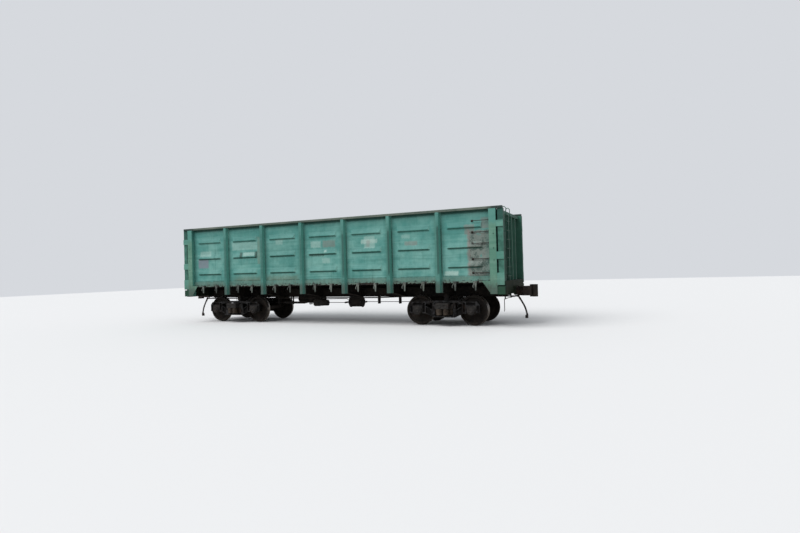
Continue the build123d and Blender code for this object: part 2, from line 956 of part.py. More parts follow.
def brake_rods():
    """Levers beside the cylinder and the rods that lead to the two bogies."""
    low, high = cylinder_span
    half = lever_thickness / 2
    lever_places = (low - lever_gaps[0] - half, high + lever_gaps[1] + half)
    pieces = []
    for place, side in zip(lever_places, (-1, 1)):
        reach = rod_offset + lever_overhang
        levels = (rod_height - lever_height / 2, rod_height + lever_height / 2)
        lever = block((place - half, place + half), (-reach, reach), levels)
        end = side * rod_end
        route = [(place, side * rod_offset, rod_height), (end, side * rod_offset, rod_height)]
        pieces.append(fused(lever, bar(route, rod_radius)))
    return pieces


def frame_pockets(near, far, axle):
    """The outlines of the four recesses between the rims, from the window columns to the nose."""
    rim = frame_rim
    foot, low, high, top = small_window_levels
    post = axle - jaw
    nose = axle + jaw
    slope = (frame_jaw_foot - frame_bottom) / (post - frame_jaw_width - frame_bottom_half)
    under = [frame_bottom + slope * (x - frame_bottom_half) + rim for x in (near + rim, far)]
    return [
        [(near + rim, under[0]), (far, under[1]), (far, low - rim), (near + rim, foot - rim / 2)],
        [(far + rim, frame_foot + rim), (post - rim, frame_foot + rim), (post - rim, top),
         (far + rim, top)],
        [(post, box_top + rim), (nose - rim, box_top + rim), (nose - rim, frame_shoulder - rim),
         (post, frame_shoulder - rim)],
        [(nose + rim, frame_foot + rim), (frame_half_length - rim, frame_foot + rim),
         (frame_half_length - rim, box_top), (nose + rim, box_top)],
    ]


def side_frame():
    """The cast frame on the +Y side of a bogie, with its windows, jaws and spring seat."""
    y = (frame_centre - frame_thickness / 2, frame_centre + frame_thickness / 2)
    axle = wheelbase / 2
    nose_inset, nose_level = frame_nose
    right = [
        (frame_top_half, frame_top), (frame_shoulder_start, frame_shoulder + frame_shoulder_rise),
        (axle - jaw, frame_shoulder), (frame_half_length - nose_inset, frame_shoulder),
        (frame_half_length, nose_level), (frame_half_length, frame_foot), (axle + jaw, frame_foot),
        (axle + jaw, box_top), (axle - jaw, box_top), (axle - jaw, frame_jaw_foot),
        (axle - jaw - frame_jaw_width, frame_jaw_foot), (frame_bottom_half, frame_bottom),
    ]
    left = [(-x, z) for x, z in reversed(right)]
    body = prism(right + left, "y", *y)
    through = (y[0] - 1, y[1] + 1)
    cuts = [block((-window_half_width, window_half_width), through, (spring_seat, window_top))]
    near = window_half_width + small_window_gap
    far_high, far_low = (axle - jaw - gap for gap in small_window_outer)
    foot, low, high, top = small_window_levels
    corner = [(near, top), (far_high, high), (far_low, low), (near, foot)]
    deep = frame_pocket_depth
    recesses = [(y[0] - 1, y[0] + deep), (y[1] - deep, y[1] + 1)]
    for side in (1, -1):
        cuts.append(prism([(side * x, z) for x, z in corner], "y", *through))
        for outline in frame_pockets(near, far_high, axle):
            shape = [(side * x, z) for x, z in outline]
            cuts += [prism(shape, "y", *recess) for recess in recesses]
    seat = block(
        (-window_half_width, window_half_width),
        (frame_centre - seat_reach, frame_centre + seat_reach),
        (spring_seat - spring_seat_thickness, spring_seat),
    )
    shelves = []
    rest = brake_beam_height - brake_beam_radius - running_gap
    for side in (1, -1):
        low, high = (side * brake_beam_place + step * frame_shelf_width / 2 for step in (-1, 1))
        shelf = block((low, high), (y[0] - frame_shelf_reach, y[0]), (rest - frame_shelf_thickness, rest))
        shelves.append(shelf)
    return fused(body - cuts, seat, *shelves)


def bolster():
    """The cast cross member that rests on the springs, with the centre bowl and side bearers."""
    foot = frame_centre - seat_reach - bolster_spring_gap
    half = [
        (0, centre_plate_level), *bolster_top_steps, (bolster_end, bolster_top_steps[-1][1]),
        (bolster_end, spring_top), (foot, spring_top), bolster_belly, (0, bolster_bottom),
    ]
    outline = half + [(-y, z) for y, z in reversed(half)][1:-1]
    body = prism(outline, "x", -bolster_half_width, bolster_half_width)
    rim_top = centre_plate_level + bowl_rim
    rim = rod("z", centre_plate_radius + bowl_wall, bowl_base, rim_top, (0, 0))
    well = rod("z", centre_plate_radius + bowl_clearance, centre_plate_level, rim_top + 1, (0, 0))
    long, wide = side_bearer_size
    bearers = both_sides(
        block(
            (-long / 2, long / 2), (side_bearer_place - wide / 2, side_bearer_place + wide / 2),
            (bearer_base, side_bearer_level - bearer_gap),
        )
    )
    return fused(body, rim, *bearers) - well


def friction_wedges():
    """The wedges between the bolster ends and the window columns."""
    y = (frame_centre - wedge_width / 2, frame_centre + wedge_width / 2)
    low, high = bolster_half_width + wedge_gap, window_half_width - wedge_gap
    shoulder, top = wedge_levels
    pieces = []
    for side in (1, -1):
        outline = [
            (low, spring_top), (high, spring_top), (high, top), (high - wedge_flat, top),
            (low, shoulder),
        ]
        pieces += both_sides(prism([(side * x, z) for x, z in outline], "y", *y))
    return pieces


def springs():
    """Seven springs in each side frame, in rows of two, three and two."""
    rows = ((-spring_row, (-0.5, 0.5)), (0, (-1, 0, 1)), (spring_row, (-0.5, 0.5)))
    pieces = []
    for shift, steps in rows:
        for step in steps:
            at = (step * spring_pitch, frame_centre + shift)
            coil = Pos(*at, spring_seat) * RegularPolygon(spring_radius, spring_sides)
            pieces += both_sides(extrude(coil, amount=spring_height))
    return pieces


def axle_boxes():
    """Four bearing housings in the jaws, each with a round cover."""
    pieces = []
    bore = journal_radius + running_gap
    blind = axle_length / 2 + box_blind_gap
    for side in (1, -1):
        x = side * wheelbase / 2
        body = rod("y", box_radius, box_start, box_end, (x, wheel_radius))
        saddle = block(
            (x - box_half_width, x + box_half_width),
            (frame_centre - frame_thickness / 2, frame_centre + frame_thickness / 2),
            (wheel_radius + box_saddle_rise, box_top),
        )
        cover = rod("y", cover_radius, box_end, box_end + cover_depth, (x, wheel_radius))
        cut = rod("y", bore, box_start - 1, blind, (x, wheel_radius))
        collar = rod(
            "y", wheel_seat_radius + collar_clearance, box_start - 1,
            axle_length / 2 - journal_length + collar_clearance, (x, wheel_radius),
        )
        pieces += both_sides(fused(body, saddle, cover) - [cut, collar])
    return pieces


def brake_beams():
    """Two beams a bogie, each with a shoe at both wheels and a lever in the middle."""
    pieces = []
    end = frame_centre - frame_thickness / 2 - running_gap
    shoe_face = wheel_radius + shoe_gap
    for side in (1, -1):
        x = side * brake_beam_place
        axle = side * wheelbase / 2
        parts = [rod("y", brake_beam_radius, -end, end, (x, brake_beam_height))]
        shoe_levels = (wheel_radius - shoe_height / 2, wheel_radius + shoe_height / 2)
        arm_wide, arm_tall = (size / 2 for size in shoe_arm_size)
        for hand in (1, -1):
            far = wheel_inside / 2 + rim_width - shoe_inset
            y = sorted((hand * (far - shoe_width), hand * far))
            shoe = block(sorted((x, axle)), y, shoe_levels)
            ring = rod("y", shoe_face + shoe_thickness, y[0] - 1, y[1] + 1, (axle, wheel_radius))
            hole = rod("y", shoe_face, y[0] - 1, y[1] + 1, (axle, wheel_radius))
            parts.append((shoe & ring) - hole)
            middle = sum(y) / 2
            parts.append(block(
                sorted((x, x + side * shoe_arm)), (middle - arm_wide, middle + arm_wide),
                (brake_beam_height - arm_tall, brake_beam_height + arm_tall),
            ))
        thick, wide = (size / 2 for size in brake_lever_size)
        parts.append(block((x - thick, x + thick), (-wide, wide), brake_lever_levels))
        pieces.append(fused(*parts))
    return pieces


def axle():
    """The stepped axle with its journals."""
    half = axle_length / 2
    journal_start = half - journal_length
    steps = [
        (hub_start - seat_overhang, axle_radius), (hub_start - seat_overhang, wheel_seat_radius),
        (journal_start, wheel_seat_radius), (journal_start, journal_radius), (half, journal_radius),
        (half, 0),
    ]
    outline = [(-y, radius) for y, radius in reversed(steps)] + steps
    return turned_profile(outline)


def turned_profile(outline):
    """A solid of revolution about the axle line, from points of place along it and radius."""
    points = [(0, y, wheel_radius + radius) for y, radius in outline]
    face = Face(Wire.make_polygon(points, close=True))
    return revolve(face, axis=Axis((0, 0, wheel_radius), (0, 1, 0)))


def wheel():
    """A wheel on the +Y side: flange, coned tread, dished web and hub."""
    inside = wheel_inside / 2
    outside = inside + rim_width
    r = wheel_radius
    rim = r - rim_thickness
    hub_end = hub_start + hub_length
    web = inside + web_place
    profile = [
        (hub_start, wheel_seat_radius), (hub_start, hub_radius), (web + web_dish, hub_radius),
        (web, rim), (inside, rim), (inside, r + flange_back), (inside + flange_tip, r + flange_height),
        (inside + flange_thickness, r + tread_rise), (outside, r - tread_fall), (outside, rim),
        (web + web_thickness, rim), (web + web_dish + web_thickness, hub_radius),
        (hub_end, hub_radius), (hub_end, wheel_seat_radius),
    ]
    return turned_profile(profile)


def hose_points(side):
    """The route of a hose from its cock, at the end that side names, to its free head."""
    x, y, z = cock_outlet_line(side)[1]
    return [(x + side * out, y, z + down) for out, down in hose_steps]


def corner_radii(points):
    """For each inner point, 0.45 of the shorter run over the tangent of half the turn."""
    radii = []
    for before, point, after in zip(points, points[1:], points[2:]):
        run_in, run_out = Vector(*point) - Vector(*before), Vector(*after) - Vector(*point)
        turn = math.radians(run_in.get_angle(run_out))
        radii.append(0.45 * min(run_in.length, run_out.length) / math.tan(turn / 2))
    return radii


def hose(side):
    """The tube of one hose."""
    points = hose_points(side)
    radii = corner_radii(points)
    path = FilletPolyline(*points, radius=radii)
    start = Plane(origin=points[0], z_dir=Vector(*points[1]) - Vector(*points[0]))
    tube = sweep(start * Circle(hose_radius), path=path)
    share = tube.volume / (math.pi * hose_radius**2 * path.length)
    print("hose radii", [round(radius) for radius in radii], "volume share", round(share, 4))
    return tube


def hose_head(side):
    """The coupling head at the free end of a hose."""
    points = hose_points(side)
    x, y, z = points[-1]
    before = points[-2]
    along = (Vector(x, y, z) - Vector(*before)).normalized()
    start = Plane(origin=(x, y, z), z_dir=along)
    collar = extrude(start * Circle(hose_collar_radius), amount=hose_collar_length)
    back, down = hose_head_place
    return fused(collar, Pos(x - side * back, y, z - down) * Box(*hose_head_size))


write("centre_sill", centre_sill())
write("cross_beams", *cross_beams())
write("bolster_beams", *bolster_beams(), *centre_plates())
write("end_sills", end_sill(), turned(end_sill()))
write("side_sills", *both_sides(side_sill()))
write("side_sheets", *both_sides(side_sheet()))
write("side_posts", *side_posts())
write("side_top_chords", *both_sides(side_top_chord()))
write("corner_posts", *four_corners(corner_post()))
write("end_sheets", end_sheet(), turned(end_sheet()))
write("end_frames", end_frame(), turned(end_frame()))
write("end_brackets", *end_brackets())
near_ladder = [mirror(rung, about=Plane.XZ) for rung in side_ladder()]
write("side_ladders", *near_ladder, *[turned(rung) for rung in near_ladder])
write("end_ladders", end_ladder(), turned(end_ladder()))
write("hatch_locks", *hatch_locks())
write("couplers", coupler(), turned(coupler()))
write("uncoupling_levers", uncoupling_lever(), turned(uncoupling_lever()))
write("brake_pipe", brake_pipe())
write("brake_cylinder", brake_cylinder())
write("air_reservoir", air_reservoir())
write("distributor_valve", distributor_valve())
write("brake_rods", *brake_rods())
for name, side in (("left", -1), ("right", 1)):
    write(f"hose_{name}", hose(side))
    write(f"hose_head_{name}", hose_head(side))

for number, bay in enumerate(bay_places, start=1):
    far_hatch = hatch(bay)
    write(f"hatch_far_{number}", far_hatch)
    write(f"hatch_near_{number}", mirror(far_hatch, about=Plane.XZ))

bogie_pieces = {
    "side_frames": both_sides(side_frame()),
    "bolster": [bolster()],
    "friction_wedges": friction_wedges(),
    "springs": springs(),
    "axle_boxes": axle_boxes(),
    "brake_beams": brake_beams(),
}
for name, place in (("left", -bogie_place), ("right", bogie_place)):
    for piece, shapes in bogie_pieces.items():
        write(f"{piece}_{name}", *[Pos(place, 0, 0) * shape for shape in shapes])

wheel_pair = both_sides(wheel())
axle_shape = axle()
axle_places = [b + a for b in (-bogie_place, bogie_place) for a in (-wheelbase / 2, wheelbase / 2)]
for number, place in enumerate(axle_places, start=1):
    write(f"axle_{number}", Pos(place, 0, 0) * axle_shape)
    write(f"wheels_{number}", *[Pos(place, 0, 0) * one for one in wheel_pair])
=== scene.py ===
# %% [markdown]
# An open gondola wagon for the 1520 mm gauge, with seven bays a side, fourteen hatches in its floor and
# two cast bogies. The CAD model gives every solid its place. This lesson adds paint, rust and dust,
# made with nodes, and small parts that show from close by, such as springs, bolts and welds. Lengths
# are metres. X runs along the wagon, Y across it and Z up.

# %% The frame
import math
import random

import bmesh
import bpy
from mathutils import Matrix, Vector


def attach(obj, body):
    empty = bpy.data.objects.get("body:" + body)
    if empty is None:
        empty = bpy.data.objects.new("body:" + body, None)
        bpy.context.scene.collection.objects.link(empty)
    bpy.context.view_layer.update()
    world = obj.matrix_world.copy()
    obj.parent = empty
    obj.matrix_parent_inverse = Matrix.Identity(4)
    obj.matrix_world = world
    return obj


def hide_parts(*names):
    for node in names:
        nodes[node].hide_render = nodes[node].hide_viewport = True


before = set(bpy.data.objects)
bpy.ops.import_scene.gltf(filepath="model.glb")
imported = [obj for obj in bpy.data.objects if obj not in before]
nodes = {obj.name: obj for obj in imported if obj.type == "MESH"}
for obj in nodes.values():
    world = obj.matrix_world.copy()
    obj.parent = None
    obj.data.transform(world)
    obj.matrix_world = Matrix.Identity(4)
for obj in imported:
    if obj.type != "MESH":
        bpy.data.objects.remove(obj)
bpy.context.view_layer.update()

# %% [markdown]
# The camera stands where the photograph was taken: 3 m past the wagon's right end, 17 m to its side and
# at eye height, turned to the left. Its place was solved from the wheels, posts and chords. Three turns
# aim it: roll, then pitch, then yaw.

# %% The camera
CAMERA_PLACE = Vector((9.9054, -17.1735, 1.8202))
CAMERA_YAW = -0.4156
CAMERA_PITCH = 0.0094
CAMERA_ROLL = -0.0269
CAMERA_LENS = 23.447
SENSOR_WIDTH = 36

bpy.ops.object.camera_add()
camera = bpy.context.object
camera.matrix_world = (
    Matrix.Translation(CAMERA_PLACE) @ Matrix.Rotation(-CAMERA_YAW, 4, "Z")
    @ Matrix.Rotation(math.pi / 2 + CAMERA_PITCH, 4, "X") @ Matrix.Rotation(CAMERA_ROLL, 4, "Z")
)
camera.data.lens = CAMERA_LENS
camera.data.sensor_width = SENSOR_WIDTH
camera.data.clip_end = 200
bpy.context.scene.camera = camera
print("camera at", CAMERA_PLACE, "with a lens of", CAMERA_LENS, "mm")

# %% [markdown]
# A material is a little sum: where is this point, how dirty is it there, which colour does that give. A
# long sum of nodes is hard to read, so one small class stands for a node's output, and adding or
# multiplying two of them adds the Math node. A second class is the tree that the nodes grow in.

# %% Shader sums
def operator(operation, turned=False):
    """A method that adds a Math node. The reflected form has its inputs turned round."""
    def method(value, *others):
        inputs = (*others, value) if turned else (value, *others)
        return value.tree.node("ShaderNodeMath", {"operation": operation}, *inputs)
    return method


class Value:
    """The output of a node, which can be used in sums."""

    def __init__(self, tree, socket):
        self.tree = tree
        self.socket = socket

    def __neg__(self):
        return self * -1

    __add__, __radd__ = operator("ADD"), operator("ADD", turned=True)
    __sub__, __rsub__ = operator("SUBTRACT"), operator("SUBTRACT", turned=True)
    __mul__, __pow__, __mod__ = operator("MULTIPLY"), operator("POWER"), operator("FLOORED_MODULO")
    __abs__, sign, maximum = operator("ABSOLUTE"), operator("SIGN"), operator("MAXIMUM")


class Tree:
    """A node tree, of a material or of the world."""

    def __init__(self, tree):
        self.tree = tree

    def node(self, kind, settings, *inputs, output=0, **named):
        """Any node: its settings first, then the values or links of its sockets."""
        made = self.tree.nodes.new(kind)
        for key, value in settings.items():
            setattr(made, key, value)
        pairs = list(zip(made.inputs, inputs))
        pairs += [(made.inputs[name.replace("_", " ")], value) for name, value in named.items()]
        for socket, value in pairs:
            self.feed(socket, value)
        return Value(self, made.outputs[output])

    def feed(self, socket, value):
        """Link a value to a socket, or set a plain one. None leaves the socket as it is."""
        if isinstance(value, Value):
            self.tree.links.new(value.socket, socket)
        elif value is not None:
            socket.default_value = value


# %% [markdown]
# A finish is a material in the making. It knows where a point lies and which way the surface looks
# there. Its colour grows in layers, as paint and dirt do: each is a tint laid over what was there, by a
# share that masks give. Colours are written in screen values from 0 to 255.

# %% Finishes
def linear(red, green, blue):
    """A colour in screen values, as the shader wants it."""
    steps = [value / 255 for value in (red, green, blue)]
    flat = [v / 12.92 if v <= 0.04045 else ((v + 0.055) / 1.055) ** 2.4 for v in steps]
    return (*flat, 1)


class Finish(Tree):
    """A material in the making, with the colour, roughness, metal and bump that it has so far."""

    def __init__(self, name, **constants):
        self.material = bpy.data.materials.new(name)
        self.material.use_nodes = True
        super().__init__(self.material.node_tree)
        self.shader = self.tree.nodes["Principled BSDF"]
        for socket, value in constants.items():
            self.shader.inputs[socket.replace("_", " ")].default_value = value
        self.place = self.node("ShaderNodeTexCoord", {}, output="Object")
        self.x, self.y, self.z = (self.part(self.place, axis) for axis in "XYZ")
        self.colour = self.rough = self.skin = None
        self.metal = 0.0

    def part(self, vector, axis):
        return self.node("ShaderNodeSeparateXYZ", {}, vector, output=axis)

    def normal(self, axis):
        """How far the surface looks along an axis, so 1 in Z is a floor and -1 a ceiling."""
        return self.part(self.node("ShaderNodeNewGeometry", {}, output="Normal"), axis)

    def outward(self):
        """1 on faces that look away from the wagon's middle line, -1 on those that look at it."""
        return self.normal("Y") * self.y.sign()

    def rightward(self, value):
        """A place or a slope in X, as seen from the side that the point is on."""
        return value * self.y.sign() * -1

    def blend(self, share, first, second):
        """Two colours mixed by share. A tuple is a colour in screen values."""
        ends = [linear(*end) if isinstance(end, tuple) else end for end in (first, second)]
        return self.node("ShaderNodeMix", {"data_type": "RGBA"}, share, *[None] * 5, *ends, output=2)

    def over(self, share, tint):
        """Lay a tint over the colour so far."""
        self.colour = self.blend(share, self.colour, tint)

    def noise(self, scale, detail=5, rough=0.7, stretch=(1, 1, 1), shift=(0, 0, 0)):
        """Smooth random values about 0.5, stretched or shifted."""
        where = self.node("ShaderNodeMapping", {}, Vector=self.place, Scale=stretch, Location=shift)
        return self.node(
            "ShaderNodeTexNoise", {}, Vector=where, Scale=scale, Detail=detail, Roughness=rough
        )

    def rise(self, value, low, high):
        """0 below low, 1 above high, and smooth between."""
        return self.node(
            "ShaderNodeMapRange", {"interpolation_type": "SMOOTHSTEP"},
            Value=value, From_Min=low, From_Max=high,
        )

    def window(self, value, low, high, soft):
        """1 between low and high, falling to 0 over soft on both sides."""
        above_high = self.rise(value, high - soft, high + soft)
        return self.rise(value, low - soft, low + soft) * (1 - above_high)

    def bump(self, height, strength, distance, under=None):
        """A bump from height, on top of another bump where one is given."""
        named = {"Height": height, "Strength": strength, "Distance": distance, "Normal": under}
        return self.node("ShaderNodeBump", {}, **named)

    def ready(self):
        """Feed the shader and give back the material."""
        values = (self.colour, self.rough, self.metal, self.skin)
        for name, value in zip(("Base Color", "Roughness", "Metallic", "Normal"), values):
            self.feed(self.shader.inputs[name], value)
        print("made", self.material.name, "with", len(self.tree.nodes), "nodes")
        return self.material


# %% [markdown]
# Such wagons have one thick coat of paint that fades to chalk in rain and sun, runs with grime under
# every ledge, and lifts into rust at seams. Four masks make that: broad fading, long vertical streaks,
# grime that rises from the sill, and small sharp rust spots. All painted parts share the recipe and
# have their own amounts, so it is a function.

# %% The turquoise paint
TURQUOISE = (74, 139, 132)
CHALKY = (112, 166, 158)
DEEP = (46, 106, 99)
GRIME = (72, 74, 62)
RUST = (104, 66, 44)
OLD_RUST = (66, 50, 42)


def weathered(
    name, colour, faded, deep, grime_top=1.75, rust=0.5, streak=0.5, waves=0.25, sky_fade=0.55,
    gloss=0.35
):
    """A finish with the paint recipe on it, ready for the marks of one part."""
    coat = Finish(name, Specular_IOR_Level=gloss)
    broad = coat.noise(0.9, 3, 0.55)
    cloudy = coat.noise(4.5, 6, 0.65)
    fine = coat.noise(60, 4)
    runs = coat.noise(5, stretch=(1.6, 1.6, 0.14))
    strokes = coat.noise(5, rough=0.6, stretch=(0.09, 0.09, 2.2), shift=(4, 4, 4))
    coat.colour = coat.blend(coat.rise(broad * 0.6 + cloudy * 0.4, 0.38, 0.66), colour, faded)
    coat.over(coat.rise(runs, 0.5, 0.78) * streak, deep)
    coat.over(coat.rise(strokes, 0.50, 0.72) * 0.55, faded)
    coat.over(coat.rise(strokes, 0.48, 0.30) * 0.35, deep)
    coat.over(coat.rise(coat.normal("Z"), 0.15, 0.7) * sky_fade, faded)
    low_dirt = 1 - coat.rise(coat.z + (cloudy - 0.5) * 0.5, 1.3, grime_top)
    grime = low_dirt * coat.rise(cloudy * 0.6 + runs * 0.4, 0.4, 0.62)
    coat.over(grime * 0.55, GRIME)
    spotted = coat.noise(14, 8, 0.75, shift=(3, 1, 7))
    spots = coat.rise(spotted, 0.66 - 0.06 * rust, 0.72) * rust
    coat.over(spots * 0.85, coat.blend(fine, RUST, OLD_RUST))
    coat.rough = 0.52 + cloudy * 0.16 + spots * 0.25 + grime * 0.15
    dents = coat.bump(coat.noise(1.7, 2, 0.55, shift=(9, 4, 2)), waves, 0.12)
    coat.skin = coat.bump(cloudy * 0.4 + fine * 0.25 - spots * 0.5, 0.25, 0.004, under=dents)
    return coat


# %% [markdown]
# A post has the same paint, with light and shade painted on it. The right half of its face between sill
# and chord is painted darker, as painted shade, and its left edge lighter, as a painted highlight. Its
# flanks are painted lighter, as painted light against their shade. Its foot stands in the spray of the
# wheels. The normal tells flank from face, and the place along the bay and the height give the rest.

# %% The post paint
POST_GREENS = ((62, 122, 114), (88, 144, 135), DEEP)
CORNER_GREENS = ((84, 132, 114), (110, 152, 134), (56, 100, 88))
# Tints of painted light and shade on the posts: lighter flanks, a darker right half and a lighter left
# edge.
PAINTED_FLANK_LIGHT = (98, 172, 160)
PAINTED_POST_SHADE = (36, 78, 70)
PAINTED_EDGE_HIGHLIGHT = (78, 128, 118)
SPRAYED = (66, 78, 72)
BAY = 1.73


def post_coat(name, greens, foot_top=1.62, wear_and_painted_light=0.0, top=0.0):
    coat = weathered(name, *greens, waves=0.1)
    along = coat.rightward(coat.x)
    past_middle = along % BAY - BAY / 2
    cloudy = coat.noise(9, shift=(6, 2, 2))
    middle = coat.window(coat.z + (cloudy - 0.5) * 0.6, 1.72, 3.22, 0.14)
    on_flank = coat.rise(abs(coat.normal("X")), 0.4, 0.9)
    # Painted shade: the right half of the face is painted darker, less on the flanks and towards the
    # left end.
    painted_shade_right = middle * coat.rise(past_middle, -0.045, 0.0) * (1 - on_flank * 0.7)
    coat.over(painted_shade_right * (coat.rise(along, -1.0, 2.0) * 0.45 + 0.55) * wear_and_painted_light, PAINTED_POST_SHADE)
    # Painted highlight: the left edge of the post is painted lighter.
    coat.over((1 - coat.rise(past_middle, -0.045, -0.010)) * wear_and_painted_light * 0.4, PAINTED_EDGE_HIGHLIGHT)
    # Painted light: the flanks are painted lighter against their shade.
    coat.over(on_flank * 0.75, PAINTED_FLANK_LIGHT)
    coat.over(coat.rise(coat.z + (cloudy - 0.5) * 0.4, 3.10, 3.35) * top, TURQUOISE)
    foot = 1 - coat.rise(coat.z + (cloudy - 0.5) * 0.5, foot_top - 0.32, foot_top)
    coat.over(foot * (0.74 - on_flank * 0.34), SPRAYED)
    coat.rough = coat.rough + foot * 0.1
    return coat.ready()


corner_paint = post_coat("corner_paint", CORNER_GREENS, foot_top=1.5, top=0.7)

# %% [markdown]
# The side sheets carry marks of their own. By the right-hand ladder climbing has scraped the paint down
# to a grey-brown undercoat. The places of the number and of some plates are pale worn patches with
# nothing written on them, and one small pale spot is a painted glint. All of these are boxes on the
# sheet with edges frayed by noise, and the far side has them too, turned by half a turn. Light and
# shade
# are painted on the sheets too: painted shade on faces that look up and beside the posts, painted
# shadows under the ribs, the chord and the rungs, and painted light on the right-hand ends of the ribs.

# %% The side sheets
WORN = (120, 128, 122)
WORN_DARK = (72, 84, 78)
PINKISH = (132, 112, 108)
# The tint of painted shade on the sheets beside the posts.
PAINTED_SHADE_BY_POSTS = (50, 104, 96)
SHADOWED = (0, 66, 56)
PALE = (178, 204, 196)
MAUVE = (118, 130, 140)
DRIED = (40, 58, 48)
DUSTED = (124, 124, 106)
BEAD_EDGES = ((3.118, 0.40), (2.498, 0.72), (1.893, 0.72))
RUNG_HEIGHTS = (3.328, 2.978, 2.628, 2.148, 1.718)
PATCHES = (
    # colour, along from, along to, height from, height to, strength
    (PALE, -4.06, -2.87, 2.79, 3.08, 0.28),
    (PALE, -2.02, -1.70, 2.92, 3.11, 0.34),
    (PALE, -0.49, -0.07, 2.74, 2.97, 0.36),
    (PALE, -0.02, 0.30, 2.18, 2.36, 0.30),
    # This small pale spot is a painted glint, a painted highlight.
    (PALE, 0.08, 0.18, 2.56, 2.64, 0.60),
    (DRIED, -0.58, 0.06, 2.44, 2.52, 0.70),
    (PINKISH, 0.01, 0.52, 2.74, 2.98, 0.42),
    (PALE, 1.54, 2.15, 2.80, 2.94, 0.50),
    (PALE, 1.66, 2.06, 2.64, 3.04, 0.36),
    (PINKISH, 1.74, 1.88, 2.68, 2.90, 0.34),
    (DEEP, -2.48, -0.98, 1.98, 3.02, 0.24),
    (PALE, 3.05, 3.35, 2.90, 3.02, 0.24),
    (PALE, 4.51, 4.97, 1.64, 1.78, 0.62),
    (PALE, -3.52, -2.98, 2.55, 2.70, 0.42),
    (DRIED, -3.68, -3.56, 2.48, 2.70, 0.75),
    (DRIED, -2.96, -2.87, 2.46, 2.72, 0.80),
    (DUSTED, -2.86, -2.72, 2.25, 3.26, 0.42),
    (MAUVE, -5.78, -5.26, 2.15, 2.50, 0.95),
    (PALE, -5.66, -5.10, 2.60, 2.80, 0.34),
    (PINKISH, 3.15, 3.60, 2.66, 2.80, 0.45),
    (PINKISH, 5.74, 5.99, 3.08, 3.42, 0.62),
    (PINKISH, 5.20, 5.52, 2.92, 3.22, 0.50),
)


def load_worn(coat):
    """The brown of steel that the load rubs bare and rain rusts again."""
    return coat.blend(coat.noise(6, 7), (92, 68, 52), (58, 48, 42))


def sheet_coat():
    coat = weathered("sheet_paint", TURQUOISE, CHALKY, DEEP, rust=0.45, sky_fade=0.0, waves=0.45)
    along = coat.rightward(coat.x)
    # Painted shade: faces that look up are painted darker.
    coat.over(coat.rise(coat.normal("Z"), 0.1, 0.3) * 0.36, DEEP)
    # Painted light: the right-hand ends of the ribs, which face away from the sun, are painted lighter.
    painted_rib_end_light = coat.rise(coat.rightward(coat.normal("X")), 0.08, 0.25)
    coat.over(painted_rib_end_light * 0.7, (132, 186, 177))
    fray = (coat.noise(16) - 0.5) * 0.12
    broken = coat.noise(26, shift=(5, 5, 5))
    for tint, start, end, low, high, strength in PATCHES:
        share = coat.window(along + fray, start, end, 0.03) * coat.rise(broken, 0.20, 0.50)
        coat.over(share * coat.window(coat.z + fray, low, high, 0.03) * strength, tint)
    ragged = (coat.noise(7, 6, 0.72, shift=(2, 8, 1)) - 0.5) * 0.30
    uneven = coat.noise(5, 7, shift=(7, 3, 3))
    scraped = coat.window(along + ragged * 0.5, 5.33, 6.20, 0.03) * coat.rise(uneven, 0.26, 0.40)
    scraped = scraped * coat.window(coat.z + ragged, 1.58, 3.04, 0.04)
    bare = coat.blend(coat.rise(uneven + (broken - 0.5) * 0.6, 0.44, 0.60), WORN, WORN_DARK)
    coat.over(scraped * 0.92, bare)
    # Painted shadow under each rung but the top one.
    for height in RUNG_HEIGHTS[1:]:
        painted_rung_shadow = coat.window(coat.z + fray * 0.3, height - 0.055, height - 0.005, 0.014)
        painted_rung_shadow = painted_rung_shadow * coat.window(along + fray, 5.42, 6.01, 0.03) * coat.rise(uneven, 0.3, 0.5)
        coat.over(painted_rung_shadow * 0.75, (52, 56, 54))
    edge = coat.window(along + ragged * 0.5, 5.28, 5.36, 0.03) * coat.rise(broken, 0.36, 0.52)
    coat.over(edge * coat.window(coat.z + ragged, 1.62, 3.1, 0.05) * 0.6, PINKISH)
    stains = (1 - coat.rise(coat.z + ragged * 0.8, 1.66, 1.90)) * coat.rise(broken, 0.20, 0.60)
    coat.over(stains * coat.window(along + ragged, -4.0, -1.0, 0.3) * 0.6, (96, 96, 74))
    seam = coat.window(coat.z + fray * 0.2, 1.590, 1.640, 0.010) * coat.rise(uneven, 0.34, 0.48)
    coat.over(seam * 0.55, (38, 66, 54))
    # Painted shade on the sheet beside each post, wider on its right-hand side.
    past_post = (along + BAY / 2) % BAY
    corner = 1 - coat.rise(past_post, 0.14, 0.28)
    corner = corner + coat.rise(past_post, BAY - 0.24, BAY - 0.14) * 0.5
    coat.over(corner * 0.45, PAINTED_SHADE_BY_POSTS)
    coat.over(coat.rise(coat.z, 2.9, 3.4) * 0.3, (46, 122, 116))
    # Painted shadow under the top chord.
    coat.over(coat.rise(coat.z + ragged * 0.15, 3.55, 3.62) * 0.8, (12, 66, 58))
    beaded = coat.window(abs(past_post - BAY / 2), -1, 0.55, 0.04)
    for height, depth in BEAD_EDGES:
        under = coat.window(coat.z + fray * 0.15, height - 0.035, height + 0.012, 0.010)
        coat.over(under * beaded * depth, SHADOWED)
    inner = 1 - coat.rise(coat.outward(), -0.12, 0.02)
    coat.over(inner, load_worn(coat))
    coat.rough = coat.rough + inner * 0.2
    return coat.ready()

# %% [markdown]
# The ends, the top chord, the sill and the locks have the same paint in other states. The end walls are
# dark with dirt and with painted shade, the chord is scuffed by loading buckets and has painted shade
# at its ends and underneath, and the locks are grey with dust and grease.

# %% Other painted parts
# The dark greens of the ends are partly dirt and partly painted shade.
END_GREENS_WITH_PAINTED_SHADE = ((26, 66, 54), (46, 94, 80), (18, 44, 37))


